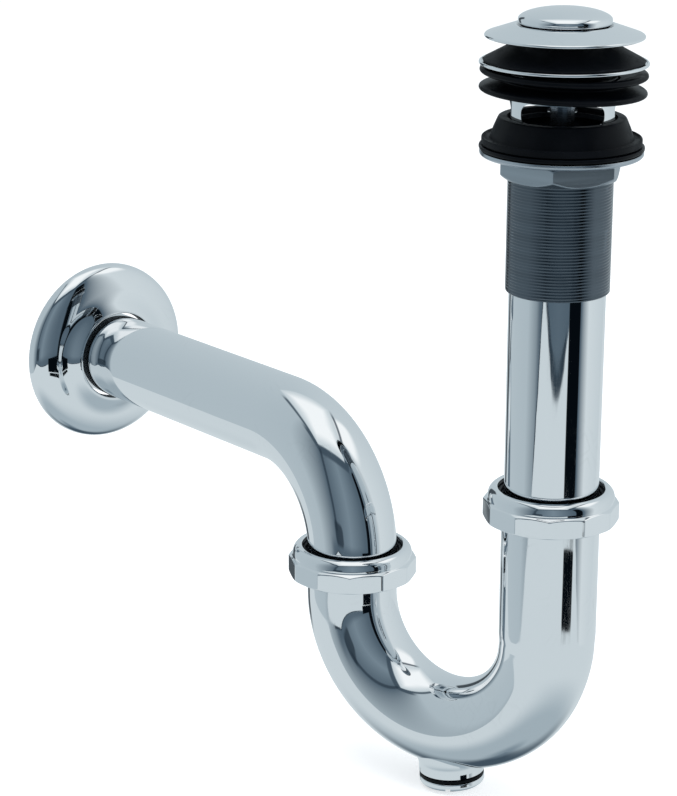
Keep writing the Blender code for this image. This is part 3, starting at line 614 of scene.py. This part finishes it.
def soften(corners, closed=True, steps=6):
    """Rounds each corner (radius, height, softening), all in millimetres.

    A narrow band is kept on both sides of a corner, where there is room, so that the shading
    of the corner doesn't spread along the straight run beside it.
    """
    points = []
    count = len(corners)
    for i, (r, z, *rest) in enumerate(corners):
        amount = rest[0] if rest else 0.0
        ends = not closed and i in (0, count - 1)
        if ends or amount <= 0:
            points.append((r * MM, z * MM))
            continue
        here = Vector((r, z))
        before = Vector(corners[i - 1][:2]) - here
        after = Vector(corners[(i + 1) % count][:2]) - here
        reach_before = min(amount, before.length * 0.49)
        reach_after = min(amount, after.length * 0.49)
        a = here + before.normalized() * reach_before
        b = here + after.normalized() * reach_after
        curve = [a * (1 - k / steps) ** 2 + here * 2 * (k / steps) * (1 - k / steps)
                 + b * (k / steps) ** 2 for k in range(steps + 1)]
        if reach_before + HOLD < before.length * 0.49:
            curve.insert(0, here + before.normalized() * (reach_before + HOLD))
        if reach_after + HOLD < after.length * 0.49:
            curve.append(here + after.normalized() * (reach_after + HOLD))
        points += [(p.x * MM, p.y * MM) for p in curve]
    return points


print("outlines ready")


# %% Meshes and spun pieces
def mesh_object(name, points, faces, place=None, sharp=SHARP):
    """A mesh from points and faces, facing outward, shaded smooth but for its sharp edges."""
    data = bpy.data.meshes.new(name)
    data.from_pydata(points, [], faces)
    work = bmesh.new()
    work.from_mesh(data)
    bmesh.ops.remove_doubles(work, verts=work.verts, dist=1e-7)
    bmesh.ops.recalc_face_normals(work, faces=work.faces)
    work.to_mesh(data)
    work.free()
    if place is not None:
        data.transform(place)
    data.shade_smooth()
    data.set_sharp_from_angle(angle=math.radians(sharp))
    obj = bpy.data.objects.new(name, data)
    bpy.context.scene.collection.objects.link(obj)
    return obj


def spun(name, outline, sides=ROUND, closed=True, place=None, shape=None, sharp=SHARP):
    """Spins an outline, in metres. Shape(radius, angle, height) may change each radius."""
    points, faces = [], []
    for r, z in outline:
        for i in range(sides):
            a = 2 * math.pi * i / sides
            out = shape(r, a, z) if shape else r
            points.append((out * math.cos(a), out * math.sin(a), z))
    rows = len(outline)
    for k in range(rows if closed else rows - 1):
        lower, upper = k * sides, ((k + 1) % rows) * sides
        for i in range(sides):
            j = (i + 1) % sides
            faces.append((lower + i, lower + j, upper + j, upper + i))
    return mesh_object(name, points, faces, place, sharp)


print("spinning ready")

# %% [markdown]
# Every piece that this lesson makes stands for solids of the frame and moves with one of its
# bodies, so a single helper gives it all of that together with its finish. Where plate doesn't
# reach, some faces of a piece get a second finish: raw metal, painted nearly black as shade.


# %% Dressing a piece
def dress(obj, finish, body, slot, *stood_for):
    """Gives a piece its finish, its body and the solids that it stands for."""
    obj.data.materials.clear()
    obj.data.materials.append(finish)
    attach(obj, body)
    if stood_for:
        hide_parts(*stood_for)
    print(obj.name, "faces:", len(obj.data.polygons), "on", body)


def raw_with_painted_shade(obj, name, inside):
    """Makes the faces that inside(centre, normal) picks raw metal, free of plate, painted nearly
    black as shade.
    """
    # Raw metal whose near-black tint is painted shade.
    obj.data.materials.append(satin_steel(name, tint=(0.035, 0.042, 0.05), rough=0.5))
    count = 0
    for face in obj.data.polygons:
        if inside(face.center, face.normal):
            face.material_index = 1
            count += 1
    print(name, "faces:", count)


print("dressing ready")

# %% [markdown]
# ## The plug
#
# The plug is a pressed cap on a thin dished plate, over a black rubber skirt. The cap and the
# plate are the only pieces seen from above when the basin is in use. Their edges are rolled,
# and the plate's rim is thin enough to show as a bright line. The plate is thin sheet, so its
# finish has more waviness than the cap's.

# %% Cap
STEM_SEAT = 4.3             # radius of the hole that the stem fills
CAP_LOW, CAP_WIDE_Z, CAP_R, CROWN = 11.63, 14.28, 15.0, 4.0
SHOULDER = 0.2              # share of the crown that rises steeply at the edge
CROWN_STEPS = 48
cap = [(0.0, (CAP_WIDE_Z + CROWN) * MM)]
for k in range(1, CROWN_STEPS + 1):
    a = math.pi / 2 * k / CROWN_STEPS
    c = max(math.cos(a), 0.0)
    rise = (1 - SHOULDER) * c ** 1.15 + SHOULDER * c ** 0.4
    cap.append((CAP_R * math.sin(a) * MM, (CAP_WIDE_Z + CROWN * rise) * MM))
cap += soften([(CAP_R, CAP_WIDE_Z), (14.85, 13.2, 0.6), (13.4, CAP_LOW, 0.6),
               (STEM_SEAT, CAP_LOW, 0.1), (STEM_SEAT, 14.9, 0.1), (0, 14.9)], closed=False)[1:]
dress(spun("press_cap", cap, closed=False), bright_plate("cap_plate"), "plug", "chrome_cap",
      "dome_cap")

# %% Dished plate under the cap
dish = soften([(STEM_SEAT, 11.33), (13.7, 11.33, 0.6), (15.55, 12.93, 0.7), (16.2, 12.93, 0.5),
               (25.2, 9.83, 0.4), (25.55, 9.5, 0.25), (25.55, 9.05, 0.2), (25.05, 8.8, 0.3),
               (16.1, 11.88, 0.5), (14.2, 10.28, 0.5), (STEM_SEAT, 10.28)])
dress(spun("thin_dish", dish), bright_plate("dish_plate", rough=0.03, wavy=0.12), "plug",
      "chrome_plate", "stopper_plate")

# %% Rubber skirt that closes on the flange
skirt = soften([(STEM_SEAT, 9.99), (8.0, 9.98, 0.8), (9.6, 8.7, 0.8), (14.5, 7.75, 1.2),
                (18.3, 5.75, 1.5), (25.5, 1.88, 0.4), (25.9, 1.45, 0.3), (25.6, 1.03, 0.25),
                (24.3, 1.03, 0.3), (20.5, 3.3, 1.0), (15.5, 5.0, 0.8), (STEM_SEAT, 5.0)])
dress(spun("rubber_skirt", skirt), black_rubber("skirt_rubber", rough=0.5), "plug",
      "rubber_seal", "stopper_seal")

# %% [markdown]
# ## The drain body
#
# Flange, windowed neck and thread are one turned piece. Above the thread it is plated outside,
# and its bore is raw metal, painted nearly black as shade. The windows are cut with a Boolean
# from a finely turned neck, with a rounded box as the tool, because that gives each window the
# small radius that a milling cutter leaves in its corners.

# %% Neck and flange
BODY_R, BORE_R, THREAD_R, SOCKET_R = 17.4, 15.2, 17.1, 16.175
NECK_END = -19.6
flange_edge = soften([(16.0, -1.6, 0.6), (26.2, 0.7, 0.35), (26.43, 1.3, 0.2), (26.8, 1.3, 0.25),
                      (27.1, 1.0, 0.25), (27.1, 0.4, 0.3), (BODY_R, -2.3, 1.0),
                      (BODY_R, NECK_END), (BORE_R, NECK_END), (BORE_R, -3.2, 0.5)])
neck = spun("neck_and_flange", flange_edge)
print("neck faces:", len(neck.data.polygons))


# %% Cutting tools
def box_cutter(low, high, turn, rounding):
    """A box along local X with its long edges rounded, turned about the drain's axis."""
    data = bpy.data.meshes.new("cutter")
    work = bmesh.new()
    bmesh.ops.create_cube(work, size=1.0)
    bmesh.ops.scale(work, vec=[(b - a) * MM for a, b in zip(low, high)], verts=work.verts)
    bmesh.ops.translate(work, vec=[(b + a) / 2 * MM for a, b in zip(low, high)], verts=work.verts)
    if rounding:
        along = [e for e in work.edges if abs((e.verts[0].co - e.verts[1].co).x) > 1e-6]
        bmesh.ops.bevel(work, geom=along, offset=rounding * MM, segments=8, profile=0.5,
                        affect="EDGES")
    work.to_mesh(data)
    work.free()
    data.transform(Matrix.Rotation(turn, 4, "Z"))
    obj = bpy.data.objects.new("cutter", data)
    bpy.context.scene.collection.objects.link(obj)
    return obj


def carve(obj, tool, operation="DIFFERENCE"):
    """Applies one Boolean and removes its tool."""
    step = obj.modifiers.new("carve", "BOOLEAN")
    step.operation = operation
    step.solver = "EXACT"
    step.object = tool
    graph = bpy.context.evaluated_depsgraph_get()
    made = bpy.data.meshes.new_from_object(obj.evaluated_get(graph))
    obj.modifiers.clear()
    obj.data = made
    made.shade_smooth()
    made.set_sharp_from_angle(angle=math.radians(SHARP))
    bpy.data.objects.remove(tool, do_unlink=True)


print("cutting tools ready")

# %% Windows
BEND_TURN = math.radians(15.8)
WINDOW_LOW, WINDOW_HIGH, WINDOW_CORNER = -18.1, -10.5, 3.2
HALF_ANGLE = 49             # degrees from a window's middle to its side
HALF_WINDOW = BODY_R * math.sin(math.radians(HALF_ANGLE))
window_turns = [BEND_TURN + math.radians(a) for a in (-60, 60, 180)]
for turn in window_turns:
    carve(neck, box_cutter((7.6, -HALF_WINDOW, WINDOW_LOW), (27, HALF_WINDOW, WINDOW_HIGH), turn,
                           WINDOW_CORNER))
dress(neck, bright_plate("neck_plate", rough=0.04), "drain", "chrome_drain", "drain_body")
# The bore is painted nearly black, as shade inside the neck.
raw_with_painted_shade(neck, "neck_bore", lambda place, facing: place.xy.length < (BORE_R + 0.1) * MM)

# %% [markdown]
# The thread is left as grey as the tool made it. A picture of lines would do from far away, but
# a thread also shows at the silhouette, so this one is real geometry: the radius of each point
# follows a row of flat crests and grooves that climbs one pitch in each turn. The grooves run
# out at both ends. Inside the body, a hub on three spokes guides the plug's stem.

# %% Thread: ridges that climb one pitch a turn
PITCH = 1.0
RIDGE = 0.16                # depth of the grooves in mm
CREST_SHARE = 0.45          # share of a pitch that is flat crest, as rolled threads have
FLANK_SHARE = 0.4           # share of a pitch that is the slope into the groove
THREAD_LOW, THREAD_HIGH = -73.9, NECK_END
LOW_RUN_OUT, HIGH_RUN_OUT = 1.6, 1.2
SOCKET_TOP = -61.6          # where the tail's socket ends inside the body


def ridge(radius, angle, z):
    """Depth of the thread at a point, nothing at its two ends."""
    if radius < 0.5 * (THREAD_R + SOCKET_R) * MM:
        return radius
    turns = z / (PITCH * MM) - angle / (2 * math.pi)
    saw = abs(2 * (turns - math.floor(turns)) - 1)
    groove = min(max(saw - CREST_SHARE, 0.0) / FLANK_SHARE, 1.0)
    ends = min((z - THREAD_LOW * MM) / (LOW_RUN_OUT * MM),
               (THREAD_HIGH * MM - z) / (HIGH_RUN_OUT * MM), 1.0)
    return radius - RIDGE * MM * groove * max(ends, 0.0)


ROWS_A_TURN = 7
rows = int((THREAD_HIGH - THREAD_LOW) / PITCH * ROWS_A_TURN)
cut_length = THREAD_HIGH - THREAD_LOW - 0.4
side = [(THREAD_R * MM, (THREAD_HIGH - cut_length * k / rows) * MM) for k in range(rows + 1)]
sleeve = side + soften([(16.8, THREAD_LOW, 0.1), (SOCKET_R, THREAD_LOW, 0.1),
                        (SOCKET_R, SOCKET_TOP), (BORE_R, SOCKET_TOP), (BORE_R, THREAD_HIGH)],
                       closed=False)
dress(spun("cut_thread", sleeve, sides=128, shape=ridge, sharp=60),
      satin_steel("thread_steel", tint=(0.115, 0.14, 0.165), rough=0.14, pitch=4.0, depth=0.0),
      "drain", "chrome_drain", "drain_body")

# %% Guide for the stem
HUB_R, HUB_HIGH, HUB_LOW = 6.5, -24.6, -32.6
SPOKE = ((5.4, -1.5, -31.1), (16.1, 1.5, -26.1))
hub = soften([(HUB_R, HUB_HIGH, 0.3), (HUB_R, HUB_LOW, 0.3), (STEM_SEAT, HUB_LOW, 0.2),
              (STEM_SEAT, HUB_HIGH, 0.2)])
hub_ring = spun("guide_hub", hub, sides=64)
for turn in window_turns:
    carve(hub_ring, box_cutter(*SPOKE, turn, 0.5), "UNION")
# The hub is steel, and its near-black tint is painted shade inside the body.
dress(hub_ring, satin_steel("guide_steel_painted_shade", tint=(0.06, 0.07, 0.085), rough=0.4), "drain",
      "chrome_drain", "drain_body")

# %% [markdown]
# ## The gaskets and clamp
#
# The upper gasket has two lips round a waist and sits a little crooked, as it does in the
# photograph. The lower one is a tapered cone with an upturned brim. Under it come a flat black
# ring, a steel washer and a lock nut. Rubber pieces get generous softening, and steel ones get
# a crisp one.

# %% Upper gasket
GASKET_TILT = math.radians(-1.8)
TILT_TURN = math.radians(50.7)
TILT_AXIS = Vector((math.sin(TILT_TURN), -math.cos(TILT_TURN), 0))
PIVOT = Vector((0, 0, -5.1 * MM))
tilted = (Matrix.Translation(PIVOT) @ Matrix.Rotation(GASKET_TILT, 4, TILT_AXIS)
          @ Matrix.Translation(-PIVOT))
lips = soften([(18.0, -3.3), (25.0, -1.22, 1.2), (26.6, -1.5, 0.5), (26.9, -2.1, 0.4),
               (26.9, -2.75, 0.4), (26.2, -3.35, 0.5), (20.7, -4.4, 0.8), (20.0, -5.1, 0.6),
               (20.7, -5.8, 0.8), (26.2, -7.0, 0.6), (26.9, -7.6, 0.5), (26.9, -8.4, 0.4),
               (26.2, -8.9, 0.5), (18.0, -9.6)])
dress(spun("two_lip_gasket", lips, place=tilted), black_rubber("gasket_rubber", rough=0.38),
      "drain", "rubber_upper", "upper_gasket")

# %% Lower gasket
CLAMP_BORE = 17.7           # bore of the pieces that slide along the thread
cone = soften([(CLAMP_BORE, -16.6), (20.3, -16.6, 0.4), (20.65, -17.0, 0.4), (22.2, -20.6, 1.2),
               (23.2, -23.8, 0.5), (24.75, -23.8, 0.4), (25.2, -23.1, 0.3), (25.6, -23.1, 0.25),
               (25.8, -23.4, 0.25), (25.8, -25.4, 0.35), (CLAMP_BORE, -25.4)])
dress(spun("tapered_gasket", cone), black_rubber("cone_rubber", rough=0.44, bloom=0.55),
      "clamp", "rubber_lower", "lower_gasket")

# %% Flat ring and steel washer
ring = soften([(CLAMP_BORE, -25.7), (26.45, -25.7, 0.4), (26.6, -26.1, 0.3), (26.6, -26.7, 0.3),
               (26.3, -27.0, 0.3), (CLAMP_BORE, -27.0)])
dress(spun("flat_ring", ring), black_rubber("ring_rubber", rough=0.36), "clamp",
      "rubber_ring", "clamp_ring")
washer = soften([(CLAMP_BORE, -27.3), (26.1, -27.3, 0.3), (26.4, -27.6, 0.25),
                 (26.4, -28.5, 0.4), (25.8, -29.1, 0.4), (CLAMP_BORE, -29.1)])
dress(spun("steel_washer", washer),
      satin_steel("washer_steel", tint=(0.52, 0.57, 0.62), rough=0.24, depth=0.1),
      "clamp", "steel_washer", "clamp_washer")

# %% [markdown]
# ## The nuts
#
# A nut is a turned blank with flats milled on it. Where a cone of the blank meets a flat, the
# edge runs in a shallow curve, and that row of curves is what makes a nut look real. Here each
# point's radius is the smaller of the blank's and the flat's, and the smaller is taken softly,
# so the edges come out rounded with no Boolean and no sliver faces.


# %% Milled flats
def softly_smaller(a, b, k):
    """The smaller of two lengths, with a rounding of about k where they meet."""
    h = max(k - abs(a - b), 0.0) / k
    return min(a, b) - h * h * k * 0.25


def many_sided(count, flat, turn, inner, soft):
    """A shape for `spun`: flats milled on whatever lies outside the inner radius."""
    def shape(radius, angle, z):
        if radius <= inner:
            return radius
        sector = 2 * math.pi / count
        off = (angle - turn) % sector - sector / 2
        return softly_smaller(radius, flat / math.cos(off), soft * MM)
    return shape


def dense(outline, step):
    """Adds points along long straight runs, so that the milled curves come out smooth."""
    out = []
    for k, (r, z) in enumerate(outline):
        r2, z2 = outline[(k + 1) % len(outline)]
        pieces = max(1, int(math.hypot(r2 - r, z2 - z) / (step * MM)))
        out += [(r + (r2 - r) * i / pieces, z + (z2 - z) * i / pieces) for i in range(pieces)]
    return out


print("milling tools ready")

# %% Lock nut
LOCK_FLAT = 18.2            # from the axis to a flat
LOCK_TURN = BEND_TURN + math.radians(-66.8)
lock_outline = soften([(17.4, -29.4), (18.5, -29.4, 0.2), (21.2, -30.7, 0.2), (21.2, -34.2, 0.2),
                       (18.3, -36.4, 0.3), (17.4, -36.5)])
flats = many_sided(6, LOCK_FLAT * MM, LOCK_TURN, 17.45 * MM, 0.35)
dress(spun("hex_lock_nut", dense(lock_outline, 0.2), sides=360, shape=flats, sharp=55),
      satin_steel("lock_nut_steel", tint=(0.40, 0.455, 0.50), rough=0.36, pitch=3.0, depth=0.05),
      "lock_nut", "steel_nut", "lock_nut")

# %% [markdown]
# The two slip nuts are alike: twelve flats below, a rounded crown above, and a
# mouth wide enough to show the black sealing ring round the tube. One outline serves both, and
# a loop sets them where the bend's collars will stand.

# %% Slip nuts
NUT_SIDES = 12
NUT_CORNER = 22.85          # from the axis to a corner
NUT_FLAT = NUT_CORNER * math.cos(math.pi / NUT_SIDES)
INLET_SEAT, OUTLET_SEAT = 44.0, 6.4
nut_outline = soften([(17.9, 10.8, 0.3), (18.5, 11.1, 0.5), (19.8, 10.75, 0.9), (20.9, 9.6, 0.9),
                      (21.3, 8.2, 0.8), (21.3, 6.95, 0.3), (23.0, 6.0, 0.25), (23.0, 0.5, 0.25),
                      (22.2, 0.0, 0.25), (19.7, 0.0, 0.2), (19.7, 9.3, 0.1), (17.9, 9.3, 0.2)])
BEND_Z = -196.6
BEND_R = 40.3
OUT_X = -2 * BEND_R * math.cos(BEND_TURN)
OUT_Y = -2 * BEND_R * math.sin(BEND_TURN)
for label, x, y, seat, turn in (("inlet", 0.0, 0.0, INLET_SEAT, -60.9),
                                ("outlet", OUT_X, OUT_Y, OUTLET_SEAT, -57.6)):
    flats = many_sided(NUT_SIDES, NUT_FLAT * MM, BEND_TURN + math.radians(turn), 19.75 * MM, 0.3)
    nut = spun(f"{label}_twelve_sided_nut", dense(nut_outline, 0.22), sides=360, shape=flats,
               place=Matrix.Translation((x * MM, y * MM, (BEND_Z + seat) * MM)), sharp=50)
    dress(nut, bright_plate(f"{label}_nut_plate", rough=0.03, wavy=0.09), f"{label}_nut",
          f"chrome_{label}_nut", f"{label}_slip_nut")

# %% [markdown]
# ## The tubes
#
# Tail, bend and arm are drawn tube. The tail is turned like the rest. The bend and the arm
# are swept: circles are set square to a path of straight runs and arcs, and joined into a
# skin, one outside and one inside. The bend's inlet leg is widened to take the tail, and the
# change of width is eased over a few millimetres, as a swaging tool leaves it.

# %% Tail
TUBE_R, WALL = 15.875, 0.8
TAIL_TOP, TAIL_FOOT = -61.9, BEND_Z + 18.0
tail = soften([(TUBE_R, TAIL_TOP, 0.15), (TUBE_R, TAIL_FOOT, 0.15),
               (TUBE_R - WALL, TAIL_FOOT, 0.15), (TUBE_R - WALL, TAIL_TOP, 0.15)])
dress(spun("tail_tube", tail), bright_plate("tail_plate", wavy=0.03), "drain", "chrome_tail",
      "tailpiece")

# %% Sweep along a path in an upright plane
SWEEP_SIDES = 128
DOWN, UP = -math.pi / 2, math.pi / 2
BACK_UP = UP - 2 * math.pi  # up again, after the turn of the U-bend


def swept(name, outside, inside, place):
    """Rows are (x, z, direction, radius) in millimetres; the two skins join at the mouths."""
    points, faces = [], []

    def skin(rows):
        starts = []
        for x, z, direction, radius in rows:
            starts.append(len(points))
            for i in range(SWEEP_SIDES):
                a = 2 * math.pi * i / SWEEP_SIDES
                up = radius * math.cos(a)
                points.append(((x - math.sin(direction) * up) * MM, radius * math.sin(a) * MM,
                               (z + math.cos(direction) * up) * MM))
        for a, b in zip(starts, starts[1:]):
            for i in range(SWEEP_SIDES):
                j = (i + 1) % SWEEP_SIDES
                faces.append((a + i, b + i, b + j, a + j))
        return starts

    outer, inner = skin(outside), skin(inside)
    for k in (0, -1):
        for i in range(SWEEP_SIDES):
            j = (i + 1) % SWEEP_SIDES
            faces.append((outer[k] + i, inner[k] + i, inner[k] + j, outer[k] + j))
    return mesh_object(name, points, faces, place)


def eased(a, b, t):
    """Goes from a to b as t goes from 0 to 1, slowly at both ends."""
    t = min(max(t, 0.0), 1.0)
    return a + (b - a) * t * t * (3 - 2 * t)


print("sweep ready")

# %% Rows of the U-bend
COLLAR_R, LEG_R, BEND_TUBE_R = 19.4, 16.5, 16.0
TAIL_FIT_R, BEND_BORE_R, MOUTH_R = 16.05, 15.3, 17.6
LEG_HIGH, LEG_LOW = 44.6, 3.0
COLLAR_HEAD, COLLAR_STEP, COLLAR_ROWS = 6.0, 0.2, 23
COLLAR_CHAMFER, COLLAR_GROOVE = 0.5, 0.35


def u_path(radius, count):
    """The half circle; radius(angle) may change along it."""
    rows = []
    for i in range(count + 1):
        a = math.pi * i / count
        rows.append((-BEND_R + BEND_R * math.cos(a), -BEND_R * math.sin(a), DOWN - a, radius(a)))
    return rows


def collar_threads(x, rise, direction):
    """Rows of a collar from head to foot: two grooves stand for the thread, under the nut."""
    rows = []
    for k in range(COLLAR_ROWS):
        z = rise + COLLAR_HEAD - COLLAR_STEP * k
        deep = COLLAR_GROOVE if k % 11 in (3, 4, 5, 6) else 0.0
        rows.append((x, z, direction, COLLAR_R - (COLLAR_CHAMFER if k == 0 else deep)))
    return rows


def outlet_rows(*rows):
    """Straight rows of the outlet leg; a row is (height, radius)."""
    return [(-2 * BEND_R, z, BACK_UP, radius) for z, radius in rows]


print("rows ready")

# %% U-bend
leg_rows = [(0, LEG_HIGH - (LEG_HIGH - LEG_LOW) * k / 24, DOWN, LEG_R) for k in range(25)]
ease_rows = [(0, LEG_LOW - LEG_LOW * k / 6, DOWN, eased(LEG_R, BEND_TUBE_R + 0.1, k / 12))
             for k in range(1, 6)]
outer_rows = collar_threads(0, INLET_SEAT, DOWN) + [(0, 45.2, DOWN, COLLAR_R)]
outer_rows += leg_rows + ease_rows
outer_rows += u_path(lambda a: eased(BEND_TUBE_R + 0.3, BEND_TUBE_R, a / 0.35), 72)
outer_rows += outlet_rows((3.5, BEND_TUBE_R), (7.0, BEND_TUBE_R), (7.6, COLLAR_R))
outer_rows += collar_threads(-2 * BEND_R, OUTLET_SEAT, BACK_UP)[::-1]
inner_rows = [(0, 50.0, DOWN, MOUTH_R), (0, 48.6, DOWN, TAIL_FIT_R), (0, 3.4, DOWN, TAIL_FIT_R),
              (0, 1.7, DOWN, BEND_BORE_R)]
inner_rows += u_path(lambda a: BEND_BORE_R, 48)
inner_rows += outlet_rows((7.4, BEND_BORE_R), (7.7, TAIL_FIT_R), (11.0, TAIL_FIT_R),
                          (12.4, MOUTH_R))
bend_place = Matrix.Translation((0, 0, BEND_Z * MM)) @ Matrix.Rotation(BEND_TURN, 4, "Z")
bend = swept("u_bend", outer_rows, inner_rows, bend_place)
print("u_bend rows:", len(outer_rows), "outside,", len(inner_rows), "inside")

# %% [markdown]
# At the bottom of the bow a short boss is brazed on, flared at its foot, and drilled through
# into the tube. It points a little off straight down. Union first and hole second is the order
# of the real work too, and it leaves one skin. A black ring and a slotted plug close it. The
# plug has its slot cut after it is spun, because a slot isn't round.

# %% Boss for the cleanout and its hole
CLEAN_TURN = math.radians(3.0)
BOSS_END = 58.4             # from the middle of the bend to the boss's face
HOLE_R, HOLE_OUT, HOLE_IN = 8.6, 62.0, 44.0
clean_place = (bend_place @ Matrix.Translation((-BEND_R * MM, 0, 0))
               @ Matrix.Rotation(math.pi - CLEAN_TURN, 4, "Y"))
boss = soften([(0.0, 46.0), (12.2, 46.0), (12.2, 53.2), (11.8, 54.4), (11.6, 55.4),
               (11.6, 56.8), (11.6, 58.2), (11.4, BOSS_END), (0.0, BOSS_END)], closed=False)
hole = soften([(0.0, HOLE_OUT), (HOLE_R, HOLE_OUT), (HOLE_R, HOLE_IN), (0.0, HOLE_IN)],
              closed=False)
for outline, operation in ((boss, "UNION"), (hole, "DIFFERENCE")):
    carve(bend, spun("boss_tool", outline, sides=96, closed=False, place=clean_place), operation)
dress(bend, bright_plate("bend_plate", wavy=0.03), "bend", "chrome_bend", "j_bend")

# %% Cleanout gasket and slotted plug
seal = soften([(HOLE_R, 59.9), (11.45, 59.9, 0.2), (11.45, 58.7, 0.2), (HOLE_R, 58.7)])
dress(spun("cleanout_ring", seal, sides=96, place=clean_place), black_rubber("cleanout_rubber"),
      "cleanout_seal", "rubber_cleanout", "cleanout_gasket")
plug_outline = soften([(0, 63.0), (10.4, 63.0, 0.4), (11.2, 62.5, 0.4), (11.5, 61.8, 0.3),
                       (11.5, 60.4, 0.15), (11.3, 60.2, 0.1), (8.3, 60.2), (8.3, 55.1, 0.1),
                       (7.8, 54.6, 0.1), (0, 54.6)], closed=False)
slotted = spun("slotted_plug", plug_outline, sides=128, closed=False, place=clean_place)
SLOT_HALF, SLOT_FLOOR, SLOT_TURN = 0.9, 61.7, math.radians(65)
slot_tool = box_cutter((-14, -SLOT_HALF, SLOT_FLOOR), (14, SLOT_HALF, 66), 0, 0)
slot_tool.data.transform(clean_place @ Matrix.Rotation(SLOT_TURN, 4, "Z"))
carve(slotted, slot_tool)
dress(slotted, bright_plate("cleanout_plate", rough=0.06, wavy=0.1), "cleanout",
      "chrome_cleanout", "cleanout_plug")

# %% [markdown]
# The arm is the same sweep with another path: a stub that stands in the outlet's collar, a
# quarter turn and a level run. The level run is cut into short lengths, though it is straight,
# so that its shading isn't stretched from one end to the other.

# %% Arm: stub, elbow and level tube
ARM_FOOT, ELBOW_Z, ELBOW_R = BEND_Z + 8.2, BEND_Z + 14.25, 40.0
ARM_Z = ELBOW_Z + ELBOW_R
ARM_END, WALL_S = 168.0, 156.0    # along the arm, from the axis of the outlet
RUN_PIECES = 12


def arm_path(radius, count):
    """Rows from the foot of the stub to the end in the wall."""
    rows = [(0, ARM_FOOT, UP, radius)]
    for i in range(count + 1):
        a = math.pi / 2 * i / count
        rows.append((-ELBOW_R * (1 - math.cos(a)), ELBOW_Z + ELBOW_R * math.sin(a), UP + a,
                     radius))
    rows += [(-ELBOW_R - (ARM_END - ELBOW_R) * k / RUN_PIECES, ARM_Z, math.pi, radius)
             for k in range(1, RUN_PIECES + 1)]
    return rows


arm_place = Matrix.Translation((OUT_X * MM, OUT_Y * MM, 0))
arm = swept("elbow_arm", arm_path(TUBE_R, 48), arm_path(TUBE_R - WALL, 32), arm_place)
dress(arm, bright_plate("arm_plate", wavy=0.06), "arm", "chrome_arm", "trap_arm")

# %% [markdown]
# ## The wall cover
#
# The cover is pressed from thin sheet: a full round shoulder at the rim, a gently hollow cone,
# and a collar turned in at the hole. It is spun like the rest, about the arm's axis, with
# large softenings so that its reflections flow without a break. Its back and the edge of its
# hole are raw metal, painted nearly black as shade, so the gap round the arm looks black.

# %% Cover
cover_place = (Matrix.Translation((OUT_X * MM, OUT_Y * MM, ARM_Z * MM))
               @ Matrix.Rotation(-math.pi / 2, 4, "Y"))
cover = soften([(34.0, WALL_S, 0.2), (34.9, WALL_S, 0.2), (34.9, 154.6, 1.4), (34.3, 152.4, 2.4),
                (32.3, 150.3, 2.6), (28.0, 148.5, 4.2), (23.2, 147.4, 3.2), (18.9, 144.9, 2.6),
                (17.6, 144.4, 0.6), (16.95, 144.8, 0.3), (16.9, 148.8), (17.4, 148.8),
                (17.9, 146.6, 0.4), (23.2, 148.6, 3.0), (30.0, 150.9, 2.0), (33.3, 153.3, 1.2)],
               steps=10)
cover_piece = spun("wall_cover", cover, place=cover_place)
dress(cover_piece, bright_plate("cover_plate"), "cover", "chrome_cover", "escutcheon")
toward_wall = cover_place.to_3x3() @ Vector((0, 0, 1))


def inside_cover(place, facing):
    """The side that faces the wall, and the edge of the hole."""
    out = (cover_place.inverted() @ place).xy.length
    return facing.dot(toward_wall) > 0.05 or out < 17.2 * MM


# The back and the hole's edge are painted nearly black, as shade in the gap round the arm.
raw_with_painted_shade(cover_piece, "cover_inside", inside_cover)

# %% [markdown]
# ## Pieces that keep their solids
#
# The stem, its stop and the washers inside the slip nuts hardly show, and their solids have
# the right shape. They only get their finish.

# %% Finishes for the inner pieces
inner_finishes = {
    "plug_stem": satin_steel("stem_steel", rough=0.2),
    "stem_stop": satin_steel("stop_steel", rough=0.25),
    "inlet_slip_washer": black_rubber("inlet_washer_rubber"),
    "outlet_slip_washer": black_rubber("outlet_washer_rubber"),
    "inlet_friction_ring": black_rubber("inlet_ring_nylon", rough=0.35),
    "outlet_friction_ring": black_rubber("outlet_ring_nylon", rough=0.35)}
for name, finish in inner_finishes.items():
    for slot in nodes[name].material_slots:
        slot.material = finish
    print(name, "->", finish.name)
